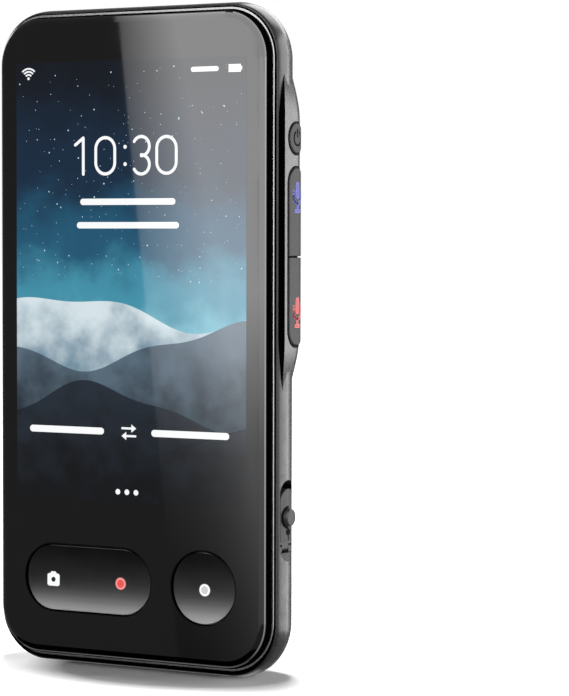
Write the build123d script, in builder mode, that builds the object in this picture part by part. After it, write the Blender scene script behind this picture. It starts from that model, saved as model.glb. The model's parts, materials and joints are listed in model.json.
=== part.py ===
"""Handheld pocket translator: an upright handset with a touch screen, keys and a hinged port cover.

The handset stands on the flat of its bottom edge. +X is its right side, seen from the screen,
-Y the way the screen faces, and +Z up. The origin is the middle of the base. "Depth" always
means the distance back from the outer face of the front glass. Millimetres throughout.
"""

from build123d import *
from math import cos, radians, sin
import os

os.makedirs("parts", exist_ok=True)

# ---------------------------------------------------------------- driving dimensions

# Screen, and the borders between its lit area and the outside of the housing
screen_width = 51.84
screen_height = 86.4
side_border = 6.68
top_border = 10.65
chin = 32.95

# Housing envelope
body_thickness = 14.0
corner_radius = 11.0
lip_depth = 2.3  # front face of the frame, behind the glass face
lip_inset = 0.95  # how far the sides curve in towards the front face of the frame
lip_steps = 4
dome_start = 5.8  # depth of the full width, where the sides begin to curve towards the back
hollow_start = 4.6  # where the inside of the rear cover begins its own curve
side_reach = 14.0  # how far the long sides curve in by the back face
end_reach = 5.0  # how far the top and bottom curve in by the back face
dome_steps = 6
base_cut = 0.5  # sliced off the bottom edge to leave a flat base
parting_depth = 10.4  # joint between the frame and the rear cover

# Raised platform on the right side that carries the side keys
platform_rise = 0.9
platform_front_depth = 2.6
platform_flat_end = 7.6
platform_rear_drop = 2.0  # by how much its face has curved in at the parting
platform_root = 5.5  # where its rear slope meets the rear cover, in from its face
platform_slope_depth = 1.1  # from the parting to the end of the rear slope
edge_drop = 0.25  # narrow edge between the parting and the rear slope
edge_depth = 0.4
platform_sink = 2.45  # by how much its face has moved in where it ends
fade_steps = 4
platform_high_inset = 23.1  # top end of its full width, below the top of the housing
platform_high_fade = 15.2  # length over which it sinks in at its top end
platform_high_front_sink = 1.6  # by how much its front edge has moved in at its top end
platform_high_set_back = 2.25  # by how much its front edge has moved back at its top end
platform_length = 40.6
platform_low_fade = 15.5
platform_low_front_sink = 1.4
platform_low_set_back = 1.4
reveal_groove = 0.22  # dark line along the parting on the platform
reveal_depth = 1.1

# Front glass and its ring
glass_margin = 1.55
glass_thickness = 1.8
glass_edge_round = 1.7
ring_gap = 0.05
ring_width = 0.4
ring_round = 0.12
ring_front_depth = 1.9
ring_seat = 0.3  # how deep the ring sits in the frame's front face
ring_groove = 0.25  # dark line between the ring and the frame
tape_setback = 0.15

# Walls and cavities
side_wall = 4.4
end_wall = 3.2
cavity_corner = 6.5
ledge_width = 1.8
ledge_thickness = 0.8
rear_wall = 1.5
skin_thickness = 0.9  # inlaid window and grille
skin_edge_depth = 0.8  # how far behind the parting the inlays begin
fit_gap = 0.1
part_gap = 0.4  # between inner pieces that never touch
tongue_length = 1.5
tongue_wall = 1.1

# Display
panel_side_border = 1.4
panel_top_border = 1.4
panel_bottom_border = 4.0
panel_thickness = 1.6
panel_corner = 0.8
backlight_inset = 0.4

# Middle plate
plate_depth = 4.6
plate_thickness = 0.7
plate_gap = 0.2
flex_window_height = 2.4

# Front keys
key_row_rise = 0.875  # middle of the front keys, above the middle of their carrier
home_edge = 14.15  # centre of the round key, in from the edge of the glass
home_diameter = 14.0
home_travel = 0.3
home_travel_room = 0.25  # behind the glass, in front of the round key's flange
key_spacing = 5.15
rocker_edge = 6.7  # end of the long key, in from the edge of the glass
rocker_height = 13.0
rocker_travel_room = 0.5  # behind the glass, in front of the rocker's flange
front_key_gap = 0.25
key_flange = 0.6
key_flange_thickness = 0.5
key_set_back = 0.05
key_edge_round = 0.2
dish_depth = 0.5
dish_rim = 0.15
window_gap = 0.35
pin_depth = 3.0
rocker_pin_diameter = 0.8
rocker_pin_embed = 1.1
hub_radius = 0.8
plunger_radius = 1.0
plunger_offset = 8.0
pin_clearance = 0.05
press_clearance = 0.01
dome_height = 0.35
dome_radius = 2.5
rocker_dome_gap = 0.25
key_board_thickness = 0.7
rest_gap = 0.05  # left between a plunger at full travel and its switch
carrier_low_gap = 1.8
carrier_high_gap = 1.6
key_board_inset = 1.0
screw_head_room = 1.0

# Side keys
side_key_depth = 7.0
side_key_width = 6.0
side_key_gap = 0.15
side_key_rise = 0.25
side_key_travel = 0.4
side_key_round = 0.2
mic_key_inset = 8.85  # top of the microphone keys, below the full top of the platform
mic_keys_length = 33.9
split_gap = 0.24
power_diameter = 5.6
power_spacing = 2.9
tab_length = 0.8
tab_thickness = 0.7
tab_seat = 1.5  # frame wall left outside the key tabs, measured from the body side
tab_gap = 0.1
power_tab_width = 3.9
side_plunger_radius = 0.9
side_plunger_length = 0.9
switch_length = 3.2
switch_width = 1.9
switch_button_radius = 0.65
switch_button_height = 0.4
switch_board_thickness = 0.7
switch_board_width = 2.6
switch_board_reach = 3.0
board_clearance = 0.05

# Charging port and its hinged cover
port_rise = 1.55  # middle of the port, above the low end of the display
port_depth = 5.65
port_length = 15.7
port_width = 5.1
port_floor_depth = 2.7  # recess floor, in from the body side
cover_gap = 0.1
cover_finger_gap = 1.7  # left open above the cover for a fingernail
cover_step = 1.35  # height above the hinge where the cover reaches its full thickness
hinge_inset = 1.3  # hinge axis, in from the body side
knuckle_radius = 0.65
knuckle_half_width = 1.2
hinge_gap = 0.1
ear_gap = 0.1
block_drop = 0.85
block_gap = 0.03
hinge_pin_diameter = 0.7
knob_drop = 5.5  # centre of the knob, below the top of the cover
knob_diameter = 3.35
knob_height = 0.8
knob_round = 0.25
plug_length = 7.6
plug_width = 1.9
plug_height = 0.7
usb_rise = 0.8  # centre of the socket, above the middle of the recess
usb_depth = 6.35
usb_length = 8.94
usb_height = 3.26
usb_wall = 0.3
usb_body = 6.6
usb_tongue_root = 1.2
usb_tongue_length = 6.69
usb_tongue_thickness = 0.7
usb_board_thickness = 0.8
usb_board_margin = 1.0

# Camera
window_side_gap = 10.3  # from the side of the housing to the window's widest point
window_height = 15.5
lens_inset = 8.2  # centre of the lens, below the top of the housing
lens_ring_radius = 5.0
lens_ring_top_radius = 4.4
lens_ring_rise = 1.0
lens_ring_foot = 0.1
lens_ring_bevel = 0.25
lens_lip = 0.2
lens_mouth_radius = 3.5
lens_glass_radius = 2.9
lens_glass_thickness = 0.6
lens_edge_round = 0.25
camera_size = 7.4
camera_corner = 0.6
camera_height = 4.1
barrel_radius = 2.6

# Speaker
grille_side_gap = 8.8
grille_height = 27.0
grille_hole_radius = 0.4
grille_pitch = 2.4
grille_row_pitch = 2.0
sound_hole_rows = 3
sound_hole_columns = 5
sound_slot_width = 12.0
sound_slot_height = 6.4
sound_slot_inset = 1.7
speaker_side_gap = 10.2  # from the cavity's side to the speaker
speaker_length = 20.0
speaker_inset = 1.3  # top of the speaker, below the top of the grille
speaker_thickness = 3.4
speaker_corner = 2.0
horn_corner = 1.5
horn_width = 24.0
horn_length = 15.0
horn_height = 1.6
horn_wall = 2.0
horn_recess = 0.8
gasket_thickness = 0.3
mesh_thickness = 0.15

# Battery, boards and fasteners
battery_thickness = 5.0
battery_side_gap = 2.2
battery_low_gap = 5.0
battery_high_gap = 3.0
battery_round = 1.2
tape_thickness = 0.3
tape_width = 10.0
tape_inset = 4.1  # from the battery's side to its tape
tape_end_gap = 3.0
board_side_gap = 5.2  # from the cavity's side to the main board
board_length = 28.0
board_camera_gap = 5.1
board_thickness = 0.8
board_corner = 1.5
standoff_height = 1.0
standoff_radius = 1.7
standoff_inset = 2.2
shield_width = 20.0
shield_length = 18.0
shield_height = 1.8
shield_wall = 0.2
shield_corner = 0.6
shield_inset = 5.0
shield_rise = 1.0
processor_size = 11.0
processor_height = 1.0
chip_width = 5.5
chip_length = 7.0
chip_height = 0.9
chip_spacing = 7.5
chip_gap = 3.0
chip_drop = 10.0
connector_width = 8.0
connector_length = 2.6
connector_height = 1.2
connector_side_inset = 9.0  # middle of the battery's connector, in from the board's side
connector_inset = 2.2
lead_width = 6.0
lead_thickness = 0.3
microphone_width = 3.0
microphone_length = 4.0
microphone_height = 1.0
microphone_edge = 3.0
microphone_inset = 7.0
antenna_width = 16.0
antenna_height = 2.4
antenna_thickness = 0.25
antenna_side_gap = 0.7  # from the cavity's corner
flex_width = 18.0
flex_thickness = 0.2
flex_reach = 0.9
flex_side_room = 2.0
flex_exit = 0.5  # behind the face of the panel
flex_tail_gap = 1.0
boss_inset = 2.8
boss_end_gap = 5.3
boss_key_gap = 6.15  # from the microphone keys down to the middle screws
boss_radius = 2.0
boss_ear = 0.6
boss_sink = 0.8  # how far the bosses run into the cover behind the parting
screw_radius = 0.6
screw_head_radius = 1.1
screw_head_thickness = 0.5
screw_length = 4.5
board_screw_length = 2.6

# ---------------------------------------------------------------- derived sizes

body_width = screen_width + 2 * side_border
body_height = screen_height + top_border + chin
screen_centre_z = chin + screen_height / 2
half_width = body_width / 2
body_mid_z = body_height / 2
platform_x = half_width + platform_rise
platform_high = body_height - platform_high_inset
platform_low = platform_high - platform_length
cavity_width = body_width - 2 * side_wall
cavity_low = end_wall
cavity_high = body_height - end_wall
cavity_mid_z = (cavity_low + cavity_high) / 2
cavity_height = cavity_high - cavity_low
cavity_x = cavity_width / 2
glass_width = body_width - 2 * glass_margin
glass_height = body_height - 2 * glass_margin
glass_corner = corner_radius - glass_margin
plate_back = plate_depth + plate_thickness
ledge_back = plate_back + ledge_thickness
pocket_start = parting_depth + skin_edge_depth

home_x = glass_width / 2 - home_edge
rocker_left = rocker_edge - glass_width / 2
rocker_right = home_x - home_diameter / 2 - key_spacing
rocker_length = rocker_right - rocker_left
rocker_x = (rocker_left + rocker_right) / 2
key_board_depth = plate_depth - key_board_thickness
dome_top_depth = key_board_depth - dome_height

mic_keys_high = platform_high - mic_key_inset
mic_keys_low = mic_keys_high - mic_keys_length
mic_keys_split = (mic_keys_high + mic_keys_low) / 2
power_z = mic_keys_high + power_spacing + power_diameter / 2
side_key_y = side_key_depth - body_thickness / 2
tab_outer_x = half_width - tab_seat - tab_gap
tab_inner_x = tab_outer_x - tab_thickness
plunger_end_x = tab_inner_x - side_plunger_length
switch_top_x = plunger_end_x - side_key_travel - rest_gap

mic_upper_low = mic_keys_split + split_gap / 2
mic_lower_high = mic_keys_split - split_gap / 2
mic_tab_high = mic_keys_high + tab_length
mic_tab_low = mic_keys_low - tab_length
mic_upper_z = (mic_upper_low + mic_keys_high) / 2
mic_lower_z = (mic_lower_high + mic_keys_low) / 2
power_low = power_z - power_diameter / 2 - tab_length
power_high = power_z + power_diameter / 2 + tab_length
switch_board_front = ledge_back + board_clearance
switch_board_mid = switch_board_front + switch_board_width / 2
switch_mid_depth = switch_board_front + board_clearance + switch_width / 2
switch_board_low = mic_keys_low - switch_board_reach
switch_board_high = power_high + board_clearance

panel_low = screen_centre_z - screen_height / 2 - panel_bottom_border
panel_high = screen_centre_z + screen_height / 2 + panel_top_border
panel_mid_z = (panel_low + panel_high) / 2

port_z = panel_low + port_rise
port_y = port_depth - body_thickness / 2
port_floor_x = half_width - port_floor_depth
cover_inner_x = port_floor_x + cover_gap
hinge_x = half_width - hinge_inset
hinge_z = port_z - port_length / 2 + port_width / 2
cover_top = port_z + port_length / 2 - cover_finger_gap
knob_z = cover_top - knob_drop
cover_width = port_width - 2 * cover_gap
cover_low = hinge_z + knuckle_radius + hinge_gap
cover_round_z = cover_top - cover_width / 2
knuckle_x = hinge_x + knuckle_radius
ear_width = cover_width / 2 - knuckle_half_width - ear_gap
usb_z = port_z + usb_rise
usb_y = usb_depth - body_thickness / 2
usb_back_x = port_floor_x - usb_body
usb_board_depth = usb_depth + usb_height / 2

lens_z = body_height - lens_inset
lens_top_depth = body_thickness + lens_ring_rise
lens_glass_back = body_thickness - lens_lip
barrel_front = lens_glass_back - lens_glass_thickness
camera_front = body_thickness - rear_wall - lens_lip

panel_width = screen_width + 2 * panel_side_border
backlight_depth = glass_thickness + panel_thickness
carrier_low = cavity_low + carrier_low_gap
carrier_high = panel_low - carrier_high_gap
carrier_mid_z = (carrier_low + carrier_high) / 2
key_row_z = carrier_mid_z + key_row_rise
rocker_flange_depth = glass_thickness + rocker_travel_room
home_flange_depth = glass_thickness + home_travel_room
flange_length = rocker_length + 2 * key_flange
flange_height = rocker_height + 2 * key_flange
home_flange_radius = home_diameter / 2 + key_flange
rocker_pin_length = flange_height + 2 * (window_gap + rocker_pin_embed)
window_width = body_width - 2 * window_side_gap
grille_width = body_width - 2 * grille_side_gap

boss_x = cavity_x - boss_inset
boss_heights = (
    cavity_low + boss_end_gap,
    mic_keys_low - boss_key_gap,
    cavity_high - boss_end_gap,
)
boss_foot_depth = parting_depth + boss_sink
board_width = cavity_width - 2 * board_side_gap
board_high = lens_z - camera_size / 2 - board_camera_gap
board_low = board_high - board_length
board_mid_z = (board_low + board_high) / 2
board_depth = plate_back + standoff_height
board_back = board_depth + board_thickness
shield_x = shield_inset + shield_width / 2 - board_width / 2
shield_z = board_mid_z + shield_rise
chip_x = shield_x + shield_width / 2 + chip_gap + chip_width / 2
chip_z = board_mid_z + chip_length / 2
chip_low_z = chip_z - chip_drop
connector_z = board_low + connector_inset
lead_x = connector_side_inset - board_width / 2
microphone_x = board_width / 2 - microphone_edge
microphone_high_z = board_high - microphone_inset
microphone_low_z = board_low + microphone_inset
standoff_x = board_width / 2 - standoff_inset
standoff_heights = (board_low + standoff_inset, board_high - standoff_inset)
battery_width = 2 * (usb_back_x - battery_side_gap)
battery_depth = plate_back + tape_thickness
tape_x = battery_width / 2 - tape_inset - tape_width / 2
usb_board_inner_x = battery_width / 2 + part_gap
usb_board_outer_x = cavity_x - part_gap
battery_low = panel_low + battery_low_gap
battery_high = board_low - battery_high_gap
battery_length = battery_high - battery_low
battery_mid_z = (battery_low + battery_high) / 2
sound_slot_z = grille_height - sound_slot_inset - sound_slot_height / 2
speaker_mid_z = grille_height - speaker_inset - speaker_length / 2
speaker_width = cavity_width - 2 * speaker_side_gap
gasket_depth = body_thickness - rear_wall - gasket_thickness
horn_depth = gasket_depth - horn_height
flex_exit_depth = glass_thickness + flex_exit
antenna_x = cavity_corner + antenna_side_gap + antenna_width / 2 - cavity_x
flex_low = panel_low - flex_reach
flex_end = battery_low - flex_tail_gap


def depth_plane(depth):
    """A plane parallel to the screen, with X to the right and Z up in the sketch."""
    return Plane.XZ.offset(body_thickness / 2 - depth)


def y_at(depth):
    """The Y of a depth."""
    return depth - body_thickness / 2


def finish(builder, name):
    """Labels a finished piece and writes its STEP file."""
    builder.part.label = name
    export_step(builder.part, f"parts/{name}.step")


# ---------------------------------------------------------------- housing envelope


def dome(wall, start):
    """The domed back of the housing behind a depth, with every face moved in by a wall."""
    span = body_thickness - wall - start
    with BuildPart() as solid:
        for step in range(dome_steps + 1):
            angle = radians(90 * step / dome_steps)
            curve = 1 - cos(angle)
            width = body_width - 2 * wall - 2 * (side_reach - wall) * curve
            height = body_height + base_cut - 2 * wall - 2 * (end_reach - wall) * curve
            with BuildSketch(depth_plane(start + span * sin(angle))):
                with Locations((0, body_mid_z - base_cut / 2)):
                    RectangleRounded(width, height, corner_radius - wall)
        loft()
    return solid.part


def front_round():
    """The front part of the housing, whose sides curve in towards the frame's front face."""
    reach = dome_start - lip_depth
    with BuildPart() as solid:
        for step in range(lip_steps + 1):
            angle = radians(90 * step / lip_steps)
            inset = lip_inset * (1 - sin(angle))
            with BuildSketch(depth_plane(dome_start - reach * cos(angle))):
                with Locations((0, body_mid_z - base_cut / 2)):
                    RectangleRounded(
                        body_width - 2 * inset,
                        body_height + base_cut - 2 * inset,
                        corner_radius - inset,
                    )
        loft()
    return solid.part


def platform_section(rise, sink, front_sink, set_back):
    """The cross-section of the key platform, raised a little and then moved in and back."""
    face_x = platform_x + rise - sink
    front_x = platform_x + rise - front_sink
    front_depth = platform_front_depth + set_back
    root_x = face_x - platform_root
    with BuildSketch() as section:
        with BuildLine():
            flat = Polyline(
                (root_x, y_at(front_depth)),
                (front_x, y_at(front_depth)),
                (face_x, y_at(platform_flat_end)),
            )
            curve = TangentArc(
                flat @ 1,
                (face_x - platform_rear_drop, y_at(parting_depth)),
                tangent=flat % 1,
            )
            Polyline(
                curve @ 1,
                (face_x - platform_rear_drop - edge_drop, y_at(parting_depth + edge_depth)),
                (root_x, y_at(parting_depth + platform_slope_depth)),
                (root_x, y_at(front_depth)),
            )
        make_face()
    return section.sketch


def platform_end(end_z, length, front_sink, set_back):
    """One end of the platform, sinking smoothly into the side; a negative length points down."""
    with BuildPart() as solid:
        for step in range(fade_steps + 1):
            share = (1 - cos(radians(180 * step / fade_steps))) / 2
            with BuildSketch(Plane.XY.offset(end_z + length * step / fade_steps)):
                add(platform_section(0, share * platform_sink, share * front_sink, share * set_back))
        loft()
    return solid.part


with BuildPart() as envelope:
    add(front_round())
    add(dome(0, dome_start))
    with BuildSketch(Plane.XY.offset(platform_low)):
        add(platform_section(0, 0, 0, 0))
    extrude(amount=platform_length)
    add(platform_end(platform_high, platform_high_fade, platform_high_front_sink, platform_high_set_back))
    add(platform_end(platform_low, -platform_low_fade, platform_low_front_sink, platform_low_set_back))
    split(bisect_by=Plane.XY, keep=Keep.TOP)

skin_core = dome(skin_thickness, dome_start)
hollow = dome(rear_wall, hollow_start)

# ---------------------------------------------------------------- frame

with BuildPart() as mid_frame:
    add(envelope.part)
    split(bisect_by=depth_plane(parting_depth), keep=Keep.TOP)
    # seat of the bright ring, wide enough to leave a dark groove outside it
    with BuildSketch(depth_plane(lip_depth)):
        with Locations((0, body_mid_z)):
            groove_reach = 2 * (ring_gap + ring_width + ring_groove)
            RectangleRounded(
                glass_width + groove_reach,
                glass_height + groove_reach,
                glass_corner + groove_reach / 2,
            )
            RectangleRounded(glass_width, glass_height, glass_corner, mode=Mode.SUBTRACT)
    extrude(amount=-ring_seat, mode=Mode.SUBTRACT)
    # cavity in front of the ledge, and behind it
    with BuildSketch(depth_plane(lip_depth)):
        with Locations((0, cavity_mid_z)):
            RectangleRounded(cavity_width, cavity_height, cavity_corner)
    extrude(amount=-(plate_back - lip_depth), mode=Mode.SUBTRACT)
    with BuildSketch(depth_plane(plate_back)):
        with Locations((0, cavity_mid_z)):
            RectangleRounded(
                cavity_width - 2 * ledge_width,
                cavity_height - 2 * ledge_width,
                cavity_corner - ledge_width,
            )
    extrude(amount=-ledge_thickness, mode=Mode.SUBTRACT)
    with BuildSketch(depth_plane(ledge_back)):
        with Locations((0, cavity_mid_z)):
            RectangleRounded(cavity_width, cavity_height, cavity_corner)
    extrude(amount=-(parting_depth - ledge_back), mode=Mode.SUBTRACT)
    # ears on the ledge for the cover screws
    with BuildSketch(depth_plane(plate_back)):
        for z in boss_heights:
            with Locations((boss_x, z), (-boss_x, z)):
                Circle(boss_radius + boss_ear)
        with Locations((0, cavity_mid_z)):
            RectangleRounded(
                cavity_width + ledge_width,
                cavity_height + ledge_width,
                cavity_corner,
                mode=Mode.INTERSECT,
            )
    extrude(amount=-ledge_thickness)
    with BuildSketch(depth_plane(plate_back)):
        for z in boss_heights:
            with Locations((boss_x, z), (-boss_x, z)):
                Circle(screw_radius + fit_gap)
    extrude(amount=-ledge_thickness, mode=Mode.SUBTRACT)
    # slots of the microphone keys and the power button
    with BuildSketch(Plane.YZ.offset(cavity_x - ledge_width)):
        with Locations((side_key_y, mic_keys_split)):
            SlotOverall(
                mic_keys_length + 2 * side_key_gap,
                side_key_width + 2 * side_key_gap,
                rotation=90,
            )
        with Locations((side_key_y, power_z)):
            Circle(power_diameter / 2 + side_key_gap)
    extrude(amount=platform_x + platform_rise - cavity_x + ledge_width, mode=Mode.SUBTRACT)
    with BuildSketch(Plane.YZ.offset(cavity_x - ledge_width)):
        with Locations((side_key_y, mic_keys_split)):
            SlotOverall(
                mic_keys_length + 2 * (side_key_gap + tab_length),
                side_key_width + 2 * side_key_gap,
                rotation=90,
            )
        with Locations((side_key_y, power_z)):
            Rectangle(
                power_tab_width + 2 * side_key_gap,
                power_diameter + 2 * (side_key_gap + tab_length),
            )
    extrude(amount=tab_outer_x + tab_gap - cavity_x + ledge_width, mode=Mode.SUBTRACT)
    # port recess and the mouth of the socket
    with BuildSketch(Plane.YZ.offset(port_floor_x)):
        with Locations((port_y, port_z)):
            SlotOverall(port_length, port_width, rotation=90)
    extrude(amount=port_floor_depth + platform_rise, mode=Mode.SUBTRACT)
    with BuildSketch(Plane.YZ.offset(cavity_x - 2 * ledge_width)):
        with Locations((usb_y, usb_z)):
            SlotOverall(usb_length + 2 * fit_gap, usb_height + 2 * fit_gap, rotation=90)
    extrude(amount=port_floor_x - cavity_x + 2 * ledge_width, mode=Mode.SUBTRACT)
finish(mid_frame, "mid_frame")

# ---------------------------------------------------------------- rear cover

# the room the camera window and the speaker grille take out of the rear cover
with BuildPart() as skin_pockets:
    with BuildSketch(depth_plane(pocket_start)):
        with Locations((0, body_height)):
            Ellipse(window_width / 2 + fit_gap, window_height + fit_gap)
        with Locations((0, 0)):
            Ellipse(grille_width / 2 + fit_gap, grille_height + fit_gap)
    extrude(amount=-body_thickness)
    add(skin_core, mode=Mode.SUBTRACT)

with BuildPart() as rear_cover:
    add(envelope.part)
    split(bisect_by=depth_plane(parting_depth), keep=Keep.BOTTOM)
    add(hollow, mode=Mode.SUBTRACT)
    # dark line between the frame and the platform's part of the cover
    with BuildSketch(depth_plane(parting_depth)):
        with Locations((platform_x - platform_rear_drop, body_mid_z)):
            Rectangle(2 * reveal_depth, body_height)
    extrude(amount=-reveal_groove, mode=Mode.SUBTRACT)
    # tongue that slips inside the frame
    with BuildSketch(depth_plane(parting_depth)):
        with Locations((0, cavity_mid_z)):
            RectangleRounded(
                cavity_width - 2 * fit_gap,
                cavity_height - 2 * fit_gap,
                cavity_corner - fit_gap,
            )
            RectangleRounded(
                cavity_width - 2 * (fit_gap + tongue_wall),
                cavity_height - 2 * (fit_gap + tongue_wall),
                cavity_corner - fit_gap - tongue_wall,
                mode=Mode.SUBTRACT,
            )
    extrude(amount=tongue_length)
    # screw bosses
    with BuildSketch(depth_plane(ledge_back)):
        for z in boss_heights:
            with Locations((boss_x, z), (-boss_x, z)):
                Circle(boss_radius)
    extrude(amount=-(boss_foot_depth - ledge_back))
    with BuildSketch(depth_plane(ledge_back)):
        for z in boss_heights:
            with Locations((boss_x, z), (-boss_x, z)):
                Circle(screw_radius + press_clearance)
    extrude(amount=-(screw_length - ledge_thickness), mode=Mode.SUBTRACT)
    # pockets of the camera window and the speaker grille
    add(skin_pockets.part, mode=Mode.SUBTRACT)
    # lens opening and sound slot through the pocket floors
    with BuildSketch(depth_plane(pocket_start)):
        with Locations((0, lens_z)):
            Circle(lens_mouth_radius + lens_ring_bevel)
        with Locations((0, sound_slot_z)):
            SlotOverall(sound_slot_width, sound_slot_height)
    extrude(amount=-body_thickness, mode=Mode.SUBTRACT)
finish(rear_cover, "rear_cover")

# ---------------------------------------------------------------- camera window and speaker grille

with BuildPart() as camera_window:
    with BuildSketch(depth_plane(pocket_start)):
        with Locations((0, body_height)):
            Ellipse(window_width / 2, window_height)
        with Locations((0, lens_z)):
            Circle(lens_ring_radius + ring_gap, mode=Mode.SUBTRACT)
    extrude(amount=-body_thickness)
    add(envelope.part, mode=Mode.INTERSECT)
    add(skin_core, mode=Mode.SUBTRACT)
finish(camera_window, "camera_window")

sound_hole_points = []
for row in range(sound_hole_rows):
    row_z = sound_slot_z + (row - (sound_hole_rows - 1) / 2) * grille_row_pitch
    row_count = sound_hole_columns - row % 2
    for place in range(row_count):
        hole_x = (place - (row_count - 1) / 2) * grille_pitch
        sound_hole_points.append((hole_x, row_z))

with BuildPart() as speaker_grille:
    with BuildSketch(depth_plane(pocket_start)):
        Ellipse(grille_width / 2, grille_height)
    extrude(amount=-body_thickness)
    add(envelope.part, mode=Mode.INTERSECT)
    add(skin_core, mode=Mode.SUBTRACT)
    with BuildSketch(depth_plane(pocket_start)):
        with Locations(*sound_hole_points):
            Circle(grille_hole_radius)
    extrude(amount=-(body_thickness - pocket_start), mode=Mode.SUBTRACT)
finish(speaker_grille, "speaker_grille")

# ---------------------------------------------------------------- glass, ring and tape

with BuildPart() as front_glass:
    with BuildSketch(depth_plane(0)):
        with Locations((0, body_mid_z)):
            RectangleRounded(glass_width, glass_height, glass_corner)
    extrude(amount=-glass_thickness)
    fillet(front_glass.faces().sort_by(Axis.Y)[0].edges(), glass_edge_round)
    with BuildSketch(depth_plane(0)):
        with Locations((rocker_x, key_row_z)):
            SlotOverall(rocker_length + 2 * front_key_gap, rocker_height + 2 * front_key_gap)
        with Locations((home_x, key_row_z)):
            Circle(home_diameter / 2 + front_key_gap)
    extrude(amount=-glass_thickness, mode=Mode.SUBTRACT)
finish(front_glass, "front_glass")

with BuildPart() as bezel_ring:
    with BuildSketch(depth_plane(ring_front_depth)):
        with Locations((0, body_mid_z)):
            RectangleRounded(
                glass_width + 2 * (ring_gap + ring_width),
                glass_height + 2 * (ring_gap + ring_width),
                glass_corner + ring_gap + ring_width,
            )
            RectangleRounded(
                glass_width + 2 * ring_gap,
                glass_height + 2 * ring_gap,
                glass_corner + ring_gap,
                mode=Mode.SUBTRACT,
            )
    extrude(amount=-(lip_depth + ring_seat - ring_front_depth))
    fillet(bezel_ring.faces().sort_by(Axis.Y)[0].outer_wire().edges(), ring_round)
finish(bezel_ring, "bezel_ring")

with BuildPart() as glass_tape:
    with BuildSketch(depth_plane(glass_thickness)):
        with Locations((0, body_mid_z)):
            RectangleRounded(
                glass_width - 2 * tape_setback,
                glass_height - 2 * tape_setback,
                glass_corner - tape_setback,
            )
        with Locations((0, cavity_mid_z)):
            RectangleRounded(cavity_width, cavity_height, cavity_corner, mode=Mode.SUBTRACT)
    extrude(amount=-(lip_depth - glass_thickness))
finish(glass_tape, "glass_tape")

# ---------------------------------------------------------------- display

with BuildPart() as display_panel:
    with BuildSketch(depth_plane(glass_thickness)):
        with Locations((0, panel_mid_z)):
            RectangleRounded(panel_width, panel_high - panel_low, panel_corner)
    extrude(amount=-panel_thickness)
finish(display_panel, "display_panel")

with BuildPart() as backlight:
    with BuildSketch(depth_plane(backlight_depth)):
        with Locations((0, panel_mid_z)):
            RectangleRounded(
                panel_width - 2 * backlight_inset,
                panel_high - panel_low - 2 * backlight_inset,
                panel_corner,
            )
    extrude(amount=-(plate_depth - backlight_depth))
finish(backlight, "backlight")

# ---------------------------------------------------------------- middle plate

with BuildPart() as mid_plate:
    with BuildSketch(depth_plane(plate_depth)):
        with Locations((0, cavity_mid_z)):
            RectangleRounded(
                cavity_width - 2 * plate_gap, cavity_height - 2 * plate_gap, cavity_corner - plate_gap
            )
        # clear of the socket and of the display's flex
        with Locations((cavity_x, usb_z)):
            Rectangle(2 * usb_body, usb_length + 2 * usb_board_margin, mode=Mode.SUBTRACT)
        with Locations((0, panel_low - flex_reach)):
            Rectangle(flex_width + 2 * flex_side_room, flex_window_height, mode=Mode.SUBTRACT)
    extrude(amount=-plate_thickness)
    with BuildSketch(depth_plane(plate_back)):
        for z in standoff_heights:
            with Locations((standoff_x, z), (-standoff_x, z)):
                Circle(standoff_radius)
    extrude(amount=-standoff_height)
    with BuildSketch(depth_plane(plate_back + standoff_height)):
        for z in standoff_heights:
            with Locations((standoff_x, z), (-standoff_x, z)):
                Circle(screw_radius + press_clearance)
    extrude(amount=standoff_height + plate_thickness, mode=Mode.SUBTRACT)
    for z in boss_heights:
        with Locations(depth_plane(plate_depth)):
            with Locations((boss_x, z), (-boss_x, z)):
                CounterBoreHole(
                    radius=screw_radius + fit_gap,
                    counter_bore_radius=screw_head_radius + fit_gap,
                    counter_bore_depth=screw_head_thickness,
                    depth=plate_thickness,
                )
finish(mid_plate, "mid_plate")

# ---------------------------------------------------------------- front keys


def dish_cutter(across, middle_x, length):
    """A long cylinder that hollows a key's face by the dish depth over a given height."""
    radius = across**2 / (8 * dish_depth) + dish_depth / 2
    with BuildPart() as bar:
        with BuildSketch(Plane.YZ.offset(middle_x - length)):
            with Locations((y_at(key_set_back + dish_depth) - radius, key_row_z)):
                Circle(radius)
        extrude(amount=2 * length)
    return bar.part


with BuildPart() as rocker_key:
    with BuildSketch(depth_plane(key_set_back)):
        with Locations((rocker_x, key_row_z)):
            SlotOverall(rocker_length, rocker_height)
    extrude(amount=-(rocker_flange_depth - key_set_back))
    fillet(rocker_key.faces().sort_by(Axis.Y)[0].edges(), key_edge_round)
    add(dish_cutter(rocker_height - 2 * dish_rim, rocker_x, rocker_length), mode=Mode.SUBTRACT)
    with BuildSketch(depth_plane(rocker_flange_depth)):
        with Locations((rocker_x, key_row_z)):
            SlotOverall(flange_length, flange_height)
    extrude(amount=-key_flange_thickness)
    # hub round the pin, and a plunger under each end
    with BuildSketch(Plane.XY.offset(key_row_z - rocker_height / 2)):
        with Locations((rocker_x, y_at(pin_depth))):
            Circle(hub_radius)
    extrude(amount=rocker_height)
    with BuildSketch(depth_plane(rocker_flange_depth)):
        with Locations((rocker_x - plunger_offset, key_row_z), (rocker_x + plunger_offset, key_row_z)):
            Circle(plunger_radius)
    extrude(amount=-(dome_top_depth - rocker_dome_gap - rocker_flange_depth))
    with BuildSketch(Plane.XY.offset(key_row_z - rocker_height)):
        with Locations((rocker_x, y_at(pin_depth))):
            Circle(rocker_pin_diameter / 2 + pin_clearance)
    extrude(amount=2 * rocker_height, mode=Mode.SUBTRACT)
finish(rocker_key, "rocker_key")

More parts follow.
